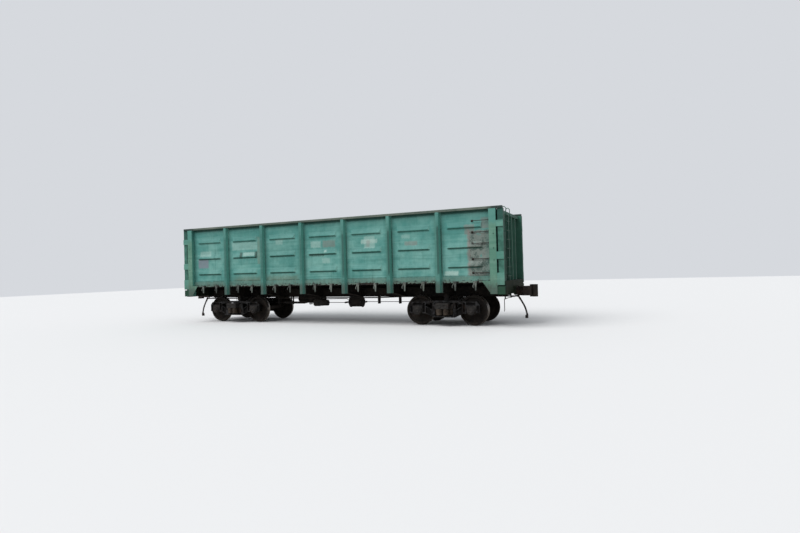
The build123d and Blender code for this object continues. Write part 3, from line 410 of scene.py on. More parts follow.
def chord_coat():
    """Grey-green and scuffed, with painted shade in dark blue-green at the ends and underneath."""
    coat = weathered("chord_paint", (70, 86, 77), (104, 112, 103), (40, 58, 52), rust=0.9, waves=0.1)
    cloudy = coat.noise(6, shift=(3, 8, 1))
    # Painted shade at both ends of the chord.
    coat.over(coat.rise(abs(coat.x) + (cloudy - 0.5) * 0.5, 5.85, 6.10) * 0.92, (22, 44, 41))
    # Painted shade on faces that look down.
    coat.over(coat.rise(-coat.normal("Z"), 0.3, 0.8) * 0.9, (40, 78, 70))
    return coat.ready()


def end_sheet_coat():
    """Dark outside with dirt and painted shade, and worn by the load inside."""
    coat = weathered("end_paint", *END_GREENS_WITH_PAINTED_SHADE, rust=0.3, streak=0.9)
    inside = 1 - coat.rise(abs(coat.x), 6.2205, 6.2235)
    coat.over(inside, load_worn(coat))
    coat.rough = coat.rough + inside * 0.2
    return coat.ready()


def end_frame_coat():
    """Dark with dirt and painted shade, as the end wall; column side faces nearly as bright as the side
    wall.
    """
    # Its dark greens are partly dirt and partly painted shade.
    coat = weathered(
        "end_frame_paint", (34, 80, 67), (58, 108, 94), (22, 54, 46), rust=0.4, streak=0.9
    )
    flank = coat.rise(coat.outward(), 0.4, 0.8) * coat.rise(abs(coat.y), 1.50, 1.53)
    cloudy = coat.noise(5, shift=(8, 1, 4))
    side_colour = coat.blend(coat.rise(cloudy, 0.35, 0.7), (46, 94, 82), (70, 124, 110))
    # Painted shadow at the top of the column sides, under the chord.
    side_colour = coat.blend(coat.rise(coat.z, 3.28, 3.36) * 0.75, side_colour, (16, 66, 60))
    # Painted light: faces that look toward the middle line are painted lighter.
    coat.over(coat.rise(-coat.outward(), 0.4, 0.8) * 0.7, (54, 104, 88))
    coat.over(flank, side_colour)
    return coat.ready()


def end_ladder_coat():
    """Dark below with dirt and painted shade, and with the curled tops rubbed pale."""
    coat = weathered("end_ladder_paint", *END_GREENS_WITH_PAINTED_SHADE)
    coat.over(coat.rise(coat.z, 3.56, 3.68) * 0.9, (112, 132, 124))
    return coat.ready()


def end_sill_coat():
    """Nearly black with brake dust and painted shade; greener at both ends; top edge a painted
    highlight.
    """
    # Its near-black colours are partly brake dust and partly painted shade.
    coat = weathered("end_sill_paint", (20, 34, 27), (30, 46, 38), (12, 20, 17), rust=0.9, gloss=0.05)
    coat.over(coat.rise(abs(coat.y), 1.40, 1.44) * 0.75, (50, 82, 68))
    # Painted highlight along the top edge.
    coat.over(coat.rise(coat.z, 1.46, 1.50) * 0.6, (78, 96, 88))
    return coat.ready()


def lock_coat():
    """Dusty grey, with some locks rubbed paler and others nearly black with grease."""
    coat = weathered("lock_paint", (82, 90, 86), (124, 132, 127), (40, 46, 44), rust=1.2, waves=0.05)
    coat.over(coat.rise(coat.noise(2.1, 1, 0.55, shift=(4, 0, 9)), 0.48, 0.56) * 0.72, (38, 44, 42))
    return coat.ready()


def sill_coat():
    """Like the sheets, duller, with a ragged edge of dirt along the bottom."""
    coat = weathered(
        "sill_paint", (76, 120, 112), (100, 142, 132), (50, 84, 76), grime_top=1.9, rust=0.9
    )
    drips = coat.noise(9, 6, 0.75, stretch=(1, 1, 0.4), shift=(2, 5, 5))
    coat.over((1 - coat.rise(coat.z + (drips - 0.5) * 0.34, 1.44, 1.50)) * 0.85, (34, 40, 36))
    chipped = coat.rise(coat.noise(13, 6, 0.75, stretch=(1, 1, 2), shift=(7, 1, 2)), 0.50, 0.62)
    coat.over(chipped * coat.window(coat.z, 1.470, 1.575, 0.020) * 0.34, (136, 150, 132))
    coat.over(1 - coat.rise(abs(coat.y), 1.4495, 1.4505), load_worn(coat))
    return coat.ready()


sill_paint = sill_coat()
strip_paint = weathered(
    "strip_paint", (70, 98, 88), (104, 132, 120), (38, 46, 42), rust=1.2, waves=0.05
).ready()
lock_paint = lock_coat()

# %% [markdown]
# Everything under the floor is bare or tarred steel under a crust of brake dust: nearly black, and a
# little browner on faces that look up, where dust settles. The wheels' running bands are the one bright
# place, polished by rolling. Their radius is worked out from X and Z, folded so that one sum serves all
# four axles.

# %% The underframe and running gear
BOGIE_PLACE = 4.325
BOGIES = (("left", -BOGIE_PLACE), ("right", BOGIE_PLACE))
HALF_WHEELBASE = 0.925
AXLE_HEIGHT = 0.5065
TREAD_START = 0.462
TREAD_INSIDE = (0.724, 0.73)
TREAD_OUTSIDE = (0.846, 0.849)
FRAME_FACE = 1.103


def grimy(name, dark=(26, 26, 26), dust=(70, 65, 58), settled=0.55, rust=0.5, gloss=0.3):
    """Dark steel with dust on what looks up, and rust in patches."""
    steel = Finish(name, Specular_IOR_Level=gloss)
    cloudy = steel.noise(7, 6, 0.65)
    fine = steel.noise(70, 4)
    steel.colour = steel.blend(steel.rise(cloudy, 0.35, 0.7), dark, steel.blend(0.35, dark, dust))
    patches = steel.rise(steel.noise(4, 7, shift=(1, 9, 5)), 0.5, 0.68)
    steel.over(patches * rust * 0.6, OLD_RUST)
    steel.over(steel.rise(steel.normal("Z") + (fine - 0.5) * 0.5, 0.1, 0.9) * settled, dust)
    steel.rough = 0.72 + fine * 0.15
    steel.skin = steel.bump(cloudy * 0.5 + fine * 0.4, 0.3, 0.004)
    return steel


def wheel_steel():
    steel = grimy("wheel_steel", dark=(28, 26, 25), settled=0.3, gloss=0.15)
    across = abs(abs(abs(steel.x) - BOGIE_PLACE) - HALF_WHEELBASE)
    upward = steel.z - AXLE_HEIGHT
    radius = (across * across + upward * upward) ** 0.5
    tread = steel.rise(radius, TREAD_START, TREAD_START + 0.006)
    tread = tread * steel.rise(abs(steel.y), *TREAD_INSIDE)
    tread = tread * (1 - steel.rise(abs(steel.y), *TREAD_OUTSIDE))
    steel.over(tread * 0.9, steel.blend(steel.noise(30, 3, 0.55), (120, 116, 112), (158, 154, 150)))
    steel.rough = steel.rough - tread * 0.45
    steel.metal = tread * 0.9
    return steel.ready()


def side_frame_steel():
    """Dust and a painted highlight on the outer rim; the pockets, where the outer face is set back,
    black with painted shade.
    """
    steel = grimy("side_frame_steel", dark=(13, 13, 13), dust=(40, 38, 37), gloss=0.08)
    rim = steel.rise(abs(steel.y), FRAME_FACE - 0.012, FRAME_FACE - 0.004)
    wear_and_painted_light = steel.rise(steel.noise(8), 0.44, 0.60)
    # The lighter rim is partly road dust and partly a painted highlight; the black pockets are painted
    # shade.
    steel.over(rim * (wear_and_painted_light * 0.55 + 0.05), (66, 66, 68))
    return steel.ready()


def hatch_steel():
    """Black with road dirt below and on its edges, brown and rubbed by the load on top."""
    steel = grimy("hatch_steel", dark=(22, 21, 21), settled=0.1, rust=0.6)
    wear_and_painted_light = steel.blend(steel.noise(3, 7, 0.72), (58, 46, 39), (106, 86, 72))
    steel.over(steel.rise(steel.normal("Z"), 0.5, 0.8), wear_and_painted_light)
    return steel.ready()


bogie_steel = grimy("bogie_steel", dark=(29, 28, 28), dust=(72, 68, 64)).ready()
coupler_steel = grimy("coupler_steel", dark=(28, 26, 25), dust=(70, 58, 48), rust=0.9).ready()
brake_steel = grimy("brake_steel", dark=(30, 30, 31), settled=0.5).ready()
spring_steel = grimy("spring_steel", dark=(40, 36, 34), dust=(100, 86, 70), rust=1.0).ready()
rung_steel = grimy("rung_steel", dark=(36, 34, 31), dust=(66, 62, 54), rust=0.8).ready()

# %% [markdown]
# The finishes go to the nodes of the CAD model by the start of their names. The first row that fits is
# taken, and the last row takes what is left.

# %% Which node has which finish
NODE_FINISHES = (
    # finish, and how the names of its nodes start
    (sheet_coat(), "side_sheets"),
    (post_coat("post_paint", POST_GREENS, wear_and_painted_light=0.85), "side_posts"),
    (sill_paint, "side_sills"),
    (chord_coat(), "side_top_chords"),
    (corner_paint, "corner_posts"),
    (weathered(
        "bracket_paint", (78, 134, 120), (104, 156, 142), DEEP, rust=0.7, waves=0.1
    ).ready(), "end_brackets"),
    (end_sheet_coat(), "end_sheets"),
    (end_frame_coat(), "end_frames"),
    (end_ladder_coat(), "end_ladders"),
    (end_sill_coat(), "end_sills"),
    (lock_paint, "hatch_locks"),
    (hatch_steel(), "hatch_"),
    (wheel_steel(), "wheels_"),
    (side_frame_steel(), "side_frames"),
    (rung_steel, "side_ladders"),
    (spring_steel, "springs"),
    (coupler_steel, "couplers", "uncoupling_levers", "hose_head"),
    (brake_steel, "brake_", "air_reservoir", "distributor_valve"),
    (bogie_steel, "axle_boxes", "friction_wedges", "bolster_left", "bolster_right"),
    (grimy("axle_steel", dark=(46, 42, 39), settled=0.4).ready(), "axle_"),
    (grimy("underframe_steel").ready(), ""),
)
for name, node in nodes.items():
    finish = next(finish for finish, *starts in NODE_FINISHES if name.startswith(tuple(starts)))
    node.data.materials.clear()
    node.data.materials.append(finish)
print("dressed", len(nodes), "nodes")

# %% [markdown]
# Each end has one brake hose: reinforced rubber, 55 mm thick, from the cock of the brake pipe to a cast
# coupling head. It leaves the cock's bent outlet steeply and hangs. The route is five points, and a
# NURBS curve of order three inside their corners gives the soft bend that rubber takes.

# %% The brake hoses
HOSE_DIAMETER = 0.055
HOSE_START = Vector((6.52, 0.30, 0.830))
HOSE_STEPS = ((0, 0), (0.084, -0.136), (0.150, -0.262), (0.202, -0.402), (0.224, -0.520))


def tube(name, points, diameter, bevel, steps):
    """A round section on one smooth open spline."""
    curve = bpy.data.curves.new(name, "CURVE")
    curve.dimensions = "3D"
    curve.bevel_depth = diameter / 2
    curve.bevel_resolution = bevel
    curve.resolution_u = steps
    curve.use_fill_caps = True
    spline = curve.splines.new("NURBS")
    spline.points.add(len(points) - 1)
    for point, place in zip(spline.points, points):
        point.co = (*place, 1)
    spline.order_u = 3
    spline.use_endpoint_u = True
    piece = bpy.data.objects.new(name, curve)
    bpy.context.collection.objects.link(piece)
    return piece


def hose_rubber():
    rubber = Finish("hose_rubber", Specular_IOR_Level=0.4)
    fine = rubber.noise(90, 4)
    broad = rubber.noise(9, rough=0.55)
    rubber.colour = rubber.blend(rubber.rise(broad, 0.4, 0.7), (26, 26, 27), (64, 58, 52))
    rubber.rough = 0.6 + fine * 0.2
    rubber.skin = rubber.bump(fine, 0.35, 0.002)
    return rubber.ready()


rubber = hose_rubber()
for side, end in ((-1, "left"), (1, "right")):
    route = [
        (side * (HOSE_START.x + out), side * HOSE_START.y, HOSE_START.z + down)
        for out, down in HOSE_STEPS
    ]
    hose = tube(f"brake_hose_{end}", route, HOSE_DIAMETER, bevel=5, steps=16)
    hose.data.materials.append(rubber)
    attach(hose, "wagon_body")
    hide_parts(f"hose_{end}")

# %% [markdown]
# The small parts are modelled as by hand: a primitive is put at its size and place, then shaped in edit
# mode. These helpers do what is needed each time: start a rod or a block, select faces by their
# direction, copy a finished part to many places, and hand it over with its body and its paint.

# %% Modelling helpers
def only(piece):
    bpy.ops.object.select_all(action="DESELECT")
    piece.select_set(True)
    bpy.context.view_layer.objects.active = piece


def settle(name):
    """Name the new primitive and move its place into its mesh."""
    piece = bpy.context.object
    piece.name = name
    piece.data.name = name
    bpy.ops.object.transform_apply(location=True, rotation=True, scale=True)
    return piece


def rod(name, radius, low, high, sides):
    """A cylinder from one point to another."""
    low, high = Vector(low), Vector(high)
    bpy.ops.mesh.primitive_cylinder_add(
        vertices=sides, radius=radius, depth=(high - low).length, location=(low + high) / 2,
        rotation=(high - low).to_track_quat("Z", "Y").to_euler(),
    )
    return settle(name)


def block(name, low, high):
    """A cube stretched between two corners."""
    low, high = Vector(low), Vector(high)
    bpy.ops.mesh.primitive_cube_add(size=1, location=(low + high) / 2)
    bpy.context.object.scale = high - low
    return settle(name)


def edit(piece):
    only(piece)
    bpy.ops.object.mode_set(mode="EDIT")


def done():
    bpy.ops.object.mode_set(mode="OBJECT")


def pick(test, kind="FACE"):
    """In edit mode, select the faces, or the edges, for which test is true."""
    bpy.ops.mesh.select_mode(type=kind)
    bpy.ops.mesh.select_all(action="DESELECT")
    mesh = bpy.context.object.data
    shape = bmesh.from_edit_mesh(mesh)
    for element in shape.faces if kind == "FACE" else shape.edges:
        element.select_set(test(element))
    bmesh.update_edit_mesh(mesh)


def pick_side(direction):
    """Select the faces that look along the direction."""
    pick(lambda face: face.normal.dot(Vector(direction)) > 0.9)


def inset(thickness, push=None):
    """Put a border round the selected faces, and push what is inside it."""
    bpy.ops.mesh.inset(thickness=thickness)
    if push is not None:
        bpy.ops.transform.translate(value=push)


def extrude(offset, size=None):
    """Draw the selected faces out, and resize them there."""
    bpy.ops.mesh.extrude_region_move(TRANSFORM_OT_translate={"value": offset})
    if size is not None:
        bpy.ops.transform.resize(value=size)


def modify(piece, kind, **settings):
    """Add a modifier with its settings, and apply it."""
    only(piece)
    modifier = piece.modifiers.new(kind, kind)
    for key, value in settings.items():
        setattr(modifier, key, value)
    bpy.ops.object.modifier_apply(modifier=modifier.name)
    return piece


def soften(piece, width, segments=2):
    """Round the sharp edges."""
    return modify(piece, "BEVEL", width=width, segments=segments, limit_method="ANGLE")


def joined(name, pieces):
    only(pieces[0])
    for piece in pieces:
        piece.select_set(True)
    if len(pieces) > 1:
        bpy.ops.object.join()
    pieces[0].name = name
    return pieces[0]


def copied(template, matrix):
    copy = template.copy()
    copy.data = template.data.copy()
    copy.data.transform(matrix)
    bpy.context.collection.objects.link(copy)
    return copy


def repeated(name, template, matrices):
    """Copies of the template at each matrix, joined, and the template removed."""
    copies = [copied(template, matrix) for matrix in matrices]
    bpy.data.objects.remove(template)
    return joined(name, copies)


def placed(place, turn=0):
    """The matrix that turns a piece about Z and then moves it."""
    return Matrix.Translation(place) @ Matrix.Rotation(turn, 4, "Z")


def hand_over(piece, body, finish, replaced=(), angle=35):
    """Smooth, paint and mount a finished piece."""
    only(piece)
    bpy.ops.object.shade_smooth_by_angle(angle=math.radians(angle))
    piece.data.materials.clear()
    piece.data.materials.append(finish)
    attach(piece, body)
    if replaced:
        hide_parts(*replaced)
    print(piece.name, len(piece.data.polygons), "faces")


def on_both_ends(name, pieces, finish, angle=35):
    """Join pieces of the wagon's body, copy them by half a turn and hand both over."""
    both = repeated(name, joined(name, pieces), BOTH_ENDS)
    hand_over(both, "wagon_body", finish, angle=angle)


STAY = Matrix.Identity(4)
HALF_TURN = Matrix.Rotation(math.pi, 4, "Z")
BOTH_ENDS = (STAY, HALF_TURN)
HANDS = (-1, 1)
OUT_FROM = {-1: math.pi, 1: 0}

# %% [markdown]
# The bogie rides on nests of coil springs, seven in each side frame, with a thin coil inside each thick
# one. A coil is a circle swept round and up by the Screw modifier: one ring of wire, five turns, one
# pitch each. Its ends are then closed.

# %% Springs
SPRING_SEAT = 0.338
SPRING_HEIGHT = 0.235
SPRING_PITCH = 0.212
SPRING_TURNS = 5
FRAME_CENTRE = 1.018
COILS = (
    # radius, radius of the wire, steps in a turn, sides of the wire
    (0.084, 0.0155, 16, 8),
    (0.050, 0.0100, 12, 6),
)


def sealed(piece, threshold):
    """Merge points that lie together, close open ends and turn every face outward."""
    edit(piece)
    bpy.ops.mesh.select_all(action="SELECT")
    bpy.ops.mesh.remove_doubles(threshold=threshold)
    bpy.ops.mesh.fill_holes(sides=0)
    bpy.ops.mesh.normals_make_consistent(inside=False)
    done()
    return piece


def coil(radius, wire, steps, sides):
    bpy.ops.mesh.primitive_circle_add(
        vertices=sides, radius=wire, location=(radius, 0, SPRING_SEAT + wire),
        rotation=(math.pi / 2, 0, 0),
    )
    pitch = (SPRING_HEIGHT - 2 * wire) / SPRING_TURNS
    piece = modify(
        settle("coil"), "SCREW", angle=2 * math.pi, screw_offset=pitch, iterations=SPRING_TURNS,
        steps=steps, render_steps=steps,
    )
    return sealed(piece, 0.0001)


row = SPRING_PITCH * math.sin(math.radians(60))
nest = [(step * SPRING_PITCH, 0) for step in (-1, 0, 1)]
nest += [(step * SPRING_PITCH, side * row) for side in HANDS for step in (-0.5, 0.5)]
spring_pair = joined("spring_pair", [coil(*sizes) for sizes in COILS])
for end, place in BOGIES:
    spots = [
        (place + along, hand * (FRAME_CENTRE + across), 0)
        for hand in HANDS for along, across in nest
    ]
    springs = repeated(f"coil_springs_{end}", copied(spring_pair, STAY), map(placed, spots))
    hand_over(springs, f"bogie_{end}", spring_steel, replaced=[f"springs_{end}"])
bpy.data.objects.remove(spring_pair)

# %% [markdown]
# A bolt head is a six-sided rod. Its outer face is inset and pushed out a little, which gives the
# chamfer, and its foot is spread into a washer. It is made along +Y and turned where needed.

# %% Bolt heads
def bolts(name, radius, height, spots):
    """Bolt heads, each at a place and turned about Z, so that 0 looks along +Y."""
    head = rod("bolt_head", radius, (0, 0, 0), (0, height, 0), 6)
    edit(head)
    pick_side((0, 1, 0))
    inset(radius * 0.16, push=(0, height * 0.18, 0))
    pick_side((0, -1, 0))
    extrude((0, -height * 0.1, 0), size=(1.35, 1, 1.35))
    done()
    return repeated(name, head, [placed(*spot) for spot in spots])


def round_spots(count, radius):
    """Places on a circle, the first half a step from its start."""
    turns = [2 * math.pi * (n + 0.5) / count for n in range(count)]
    return [(radius * math.cos(turn), radius * math.sin(turn)) for turn in turns]


# %% [markdown]
# Each axle runs in a box whose round cover faces outward and is held by eight bolts. The cap is a short
# rod, inset and sunk, so that it reads as a pressed plate with a rim and not as a coin.

# %% Axle box covers
COVER_FACE = 1.150
CAP_RADIUS = 0.07316
COVER_BOLTS = 8
COVER_BOLT_CIRCLE = 0.098


def cover_cap(x, hand):
    outward = Vector((0, hand, 0))
    start = Vector((x, hand * COVER_FACE, AXLE_HEIGHT))
    cap = rod("cover_cap", CAP_RADIUS, start, start + outward * 0.012, 32)
    edit(cap)
    pick_side(outward)
    inset(0.014, push=outward * 0.006)
    inset(0.012)
    extrude(-outward * 0.008)
    done()
    return soften(cap, 0.0025)


for end, place in BOGIES:
    boxes = [(place + half * HALF_WHEELBASE, hand) for half in HANDS for hand in HANDS]
    caps = [cover_cap(x, hand) for x, hand in boxes]
    heads = bolts("cover_bolts", 0.011, 0.010, [
        ((x + along, hand * COVER_FACE, AXLE_HEIGHT + up), OUT_FROM[hand])
        for x, hand in boxes for along, up in round_spots(COVER_BOLTS, COVER_BOLT_CIRCLE)
    ])
    covers = joined(f"box_covers_{end}", [*caps, heads])
    hand_over(covers, f"bogie_{end}", bogie_steel)

# %% [markdown]
# A side rung is a bent bar with a pad welded on at each end, one on the sheet and one on the corner
# post. Paint never lasts on the pads, so they show as dark spots. A pad is a block with its face inset
# and raised, and the far side's ladder is the same one turned half round.

# %% Ladder pads
RUNG_START = 5.450
RUNG_END = 6.000
SHEET_FACE = 1.455
RUNG_LINE = 1.530
PAD_HALF = 0.034
PAD_HALF_DEPTH = 0.028
PAD_THICKNESS = 0.012


def pad(low, high, outward):
    piece = block("pad", low, high)
    edit(piece)
    pick_side(outward)
    inset(0.007, push=Vector(outward) * 0.004)
    done()
    return soften(piece, 0.002, 1)


pads = []
for height in RUNG_HEIGHTS:
    low, high = height - PAD_HALF, height + PAD_HALF
    pads.append(pad(
        (RUNG_START - PAD_HALF, -SHEET_FACE - PAD_THICKNESS, low),
        (RUNG_START + PAD_HALF, -SHEET_FACE, high), (0, -1, 0),
    ))
    pads.append(pad(
        (RUNG_END - PAD_THICKNESS, -RUNG_LINE - PAD_HALF_DEPTH, low),
        (RUNG_END, -RUNG_LINE + PAD_HALF_DEPTH, high), (-1, 0, 0),
    ))
on_both_ends("ladder_pads", pads, rung_steel)

# %% [markdown]
# The posts are welded to the sheets along both flanges, the sheets to the sill and the chord, the end
# ribs to the end sheet, and the brackets along their edges. A weld is a row of ripples, so a seam is a
# thin six-sided rod cut across every few centimetres, with each ring swelled or shrunk a little. Random
# numbers with a fixed seed make every seam its own.

# %% Weld seams
SEAM_RADIUS = 0.0055
SEAM_STEP = 0.045
SEAM_RAISE = 0.0025
LONG_EDGE = 0.1
POST_PLACES = (-4.325, -2.595, -0.865, 0.865, 2.595, 4.325)
POST_FOOT_EDGE = 0.1205
OUTER_BAY_END = 6.0
END_RIB_PLACES = (-0.80, -0.25, 0.25, 0.80)
END_RIB_EDGE = 0.100
END_SHEET_FACE = 6.225
SILL_TOP = 1.603
CHORD_BOTTOM = 3.663
END_CHORD_BOTTOM = 3.538
FLOOR_TOP = 1.443
BRACKET_FACE = 1.541
BRACKET_SPAN = (6.232, 6.436)
BRACKET_EDGES = (3.108, 3.298, 2.118, 2.338, 1.328, 1.698)
wobble = random.Random(7)


def cut_across(piece, cuts):
    """Cut the long edges of a piece into equal lengths."""
    edit(piece)
    pick(lambda edge: edge.calc_length() > LONG_EDGE, "EDGE")
    bpy.ops.mesh.subdivide(number_cuts=cuts)
    done()


def weld_seam(low, high):
    low, high = Vector(low), Vector(high)
    along = (high - low).normalized()
    seam = rod("weld_seam", SEAM_RADIUS, low, high, 6)
    cut_across(seam, round((high - low).length / SEAM_STEP))
    swell = {}
    for vertex in seam.data.vertices:
        reach = (vertex.co - low).dot(along)
        ring = round(reach, 3)
        if ring not in swell:
            swell[ring] = wobble.uniform(0.65, 1.25)
        middle = low + along * reach
        vertex.co = middle + (vertex.co - middle) * swell[ring]
    return seam


wall, end_wall = -SHEET_FACE - SEAM_RAISE, END_SHEET_FACE + SEAM_RAISE
post_edges = [place + hand * POST_FOOT_EDGE for place in POST_PLACES for hand in HANDS]
bay_edges = [-OUTER_BAY_END, *post_edges, OUTER_BAY_END]
lines = [((x, wall, SILL_TOP), (x, wall, CHORD_BOTTOM)) for x in post_edges]
lines += [
    ((start, wall, z), (end, wall, z))
    for start, end in zip(bay_edges[::2], bay_edges[1::2]) for z in (SILL_TOP, CHORD_BOTTOM)
]
lines += [
    [(end_wall, place + hand * END_RIB_EDGE, z) for z in (FLOOR_TOP, END_CHORD_BOTTOM)]
    for place in END_RIB_PLACES for hand in HANDS
]
lines += [
    [(x, hand * BRACKET_FACE, z) for x in BRACKET_SPAN] for z in BRACKET_EDGES for hand in HANDS
]
seams = [weld_seam(low, high) for low, high in lines]
on_both_ends("body_welds", seams, sill_paint, angle=60)

# %% [markdown]
# The three holes in each corner post have rolled rims, which end flush with the plate. A rim is a small
# torus, and its place is a few millimetres under the face.

# %% Corner hole rims
SIDE_FACE = 1.567
HOLE_PLACE = 6.140
HOLE_HEIGHTS = (2.893, 2.453, 2.088)
HOLE_RADIUS = 0.020
RIM_RADIUS = 0.004


def ring(name, radius, thickness, segments, sides, **where):
    bpy.ops.mesh.primitive_torus_add(
        major_radius=radius, minor_radius=thickness, major_segments=segments,
        minor_segments=sides, **where,
    )
    return settle(name)


rim = ring("hole_rim", HOLE_RADIUS - 0.001, RIM_RADIUS, 24, 8, rotation=(math.pi / 2, 0, 0))
hole_rims = repeated("hole_rims", rim, [
    placed((end * HOLE_PLACE, hand * (SIDE_FACE - RIM_RADIUS - 0.001), z))
    for z in HOLE_HEIGHTS for end in HANDS for hand in HANDS
])
hand_over(hole_rims, "wagon_body", corner_paint)

# %% [markdown]
# Thin strips hang under the sill to close the gap above the hatches. Years of unloading have bent them,
# and they give the sill its ragged lower edge. A strip is a thin block, cut across along its length,
# whose lower corners are then moved a little by random numbers.

# %% Gap strips
BAY_MIDDLES = [BAY * (bay - 3) for bay in range(7)]
STRIP_SPANS = ((-0.725, -0.395), (-0.215, 0.265), (0.440, 0.725))
STRIP_FACE = 1.4610
STRIP_THICKNESS = 0.003
STRIP_TOP = 1.460
STRIP_BOTTOM = 1.412
STRIP_LOST = 0.12


def gap_strip(start, end):
    strip = block(
        "gap_strip", (start, -STRIP_FACE - STRIP_THICKNESS, STRIP_BOTTOM),
        (end, -STRIP_FACE, STRIP_TOP),
    )
    cut_across(strip, 9)
    bends = {}
    for vertex in strip.data.vertices:
        if vertex.co.z > STRIP_TOP - 0.001:
            continue
        spot = round(vertex.co.x, 3)
        if spot not in bends:
            bends[spot] = (wobble.uniform(0, 1) ** 2 * 0.042, wobble.uniform(-0.001, 0.014))
        lift, out = bends[spot]
        vertex.co.z += lift
        vertex.co.y -= out
    return strip


strips = [
    gap_strip(middle + low, middle + high)
    for middle in BAY_MIDDLES for low, high in STRIP_SPANS if wobble.random() > STRIP_LOST
]
on_both_ends("gap_strips", strips, strip_paint, angle=25)

# %% [markdown]
# Each hatch is held by two hooks. A hook turns on a bolt in its head, and beside it hangs a catch, a
# bent flat bar that keeps it from swinging out. No two catches hang alike, so each copy is tilted a
# little.

# %% Hatch lock bolts and catches
LOCK_PLACES = [middle + shift for middle in BAY_MIDDLES for shift in (-0.330, 0.330)]
LOCK_FACE = 1.500
LOCK_BOLT_HEIGHT = 1.433
CATCH_FACE = 1.462
CATCH_SHIFT = 0.062


def lock_catch():
    catch = block("lock_catch", (-0.014, 0, -0.060), (0.014, 0.010, 0.014))
    edit(catch)
    pick_side((0, 0, -1))
    extrude((0.022, 0.006, -0.045), size=(0.85, 1, 1))
    extrude((-0.004, 0.012, -0.050))
    extrude((-0.026, 0.002, -0.020), size=(0.7, 1, 0.8))
    done()
    return soften(catch, 0.002, 1)


locks = [(x, hand) for x in LOCK_PLACES for hand in HANDS]
bolt_spots = [((x, hand * LOCK_FACE, LOCK_BOLT_HEIGHT), OUT_FROM[hand]) for x, hand in locks]
catch_turns = []
for x, hand in locks:
    tilt = Matrix.Rotation(math.radians(wobble.uniform(-16, 10)), 4, "Y")
    spot = (x + hand * CATCH_SHIFT, hand * CATCH_FACE, LOCK_BOLT_HEIGHT - 0.01)
    catch_turns.append(placed(spot, OUT_FROM[hand]) @ tilt)
lock_parts = joined("lock_parts", [
    bolts("lock_bolts", 0.015, 0.012, bolt_spots),
    repeated("catches", lock_catch(), catch_turns),
])
hand_over(lock_parts, "wagon_body", lock_paint)

# %% [markdown]
# The coupler shank lies on a centring beam, which hangs in front of the striker on two long bolts and
# swings the coupler back to the middle after a curve. The beam is a block with its ends drawn up into
# lugs, and each hanger is a rod with a nut above and below.

# %% Centring beams
BEAM_FRONT = 6.545
STRIKER_FACE = 6.500
SHANK_BOTTOM = 1.0005
HANGER_PLACE = 0.145
HANGER_TOP = 1.250
NUT_HEIGHT = 0.018


def nut(radius, low, high):
    return soften(rod("nut", radius, low, high, 6), 0.002, 1)


def centring_beam():
    low, high = SHANK_BOTTOM - 0.048, SHANK_BOTTOM - 0.001
    beam = block("beam", (STRIKER_FACE + 0.002, -0.100, low), (BEAM_FRONT, 0.100, high))
    edit(beam)
    for hand in HANDS:
        pick_side((0, hand, 0))
        extrude((0, hand * 0.030, 0.012), size=(1, 1, 0.8))
        extrude((0, hand * 0.040, 0), size=(0.8, 1, 0.9))
    done()
    pieces = [soften(beam, 0.004)]
    x = (STRIKER_FACE + BEAM_FRONT) / 2
    for y in (-HANGER_PLACE, HANGER_PLACE):
        pieces.append(rod("hanger", 0.010, (x, y, low - 0.030), (x, y, HANGER_TOP), 12))
        for foot in (low - 0.026, HANGER_TOP - 0.030):
            pieces.append(nut(0.019, (x, y, foot), (x, y, foot + NUT_HEIGHT)))
        ear = block(
            "ear", (STRIKER_FACE - 0.004, y - 0.026, HANGER_TOP - 0.075),
            (BEAM_FRONT - 0.004, y + 0.026, HANGER_TOP - 0.030),
        )
        edit(ear)
        pick_side((1, 0, 0))
        bpy.ops.transform.resize(value=(1, 0.7, 0.7))
        done()
        pieces.append(soften(ear, 0.003, 1))
    return pieces


on_both_ends("centring_beams", centring_beam(), coupler_steel)

# %% [markdown]
# The striker is riveted to the end sill and has a thick lip round its mouth. The coupler head, a rough
# casting, has a boss on its side for the shaft of its lock, and a web that stiffens it above and below
# the shank.

# %% Striker rivets and coupler castings
STRIKER_RIVETS = [(y, z) for y in (-0.222, 0.222) for z in (0.996, 1.056, 1.116, 1.176, 1.232)]
MOUTH_HALF = 0.125
MOUTH_TOP = 1.2055
LIP = 0.022
LIPS = (
    ((-MOUTH_HALF - LIP, SHANK_BOTTOM), (-MOUTH_HALF, MOUTH_TOP + LIP)),
    ((MOUTH_HALF, SHANK_BOTTOM), (MOUTH_HALF + LIP, MOUTH_TOP + LIP)),
    ((-MOUTH_HALF, MOUTH_TOP), (MOUTH_HALF, MOUTH_TOP + LIP)),
)
LOCK_BOSS = Vector((6.700, -0.145, 1.062))
SHANK_TOP = 1.1755
WEB_SPAN = (6.590, 6.700)
WEB_HALF = 0.014


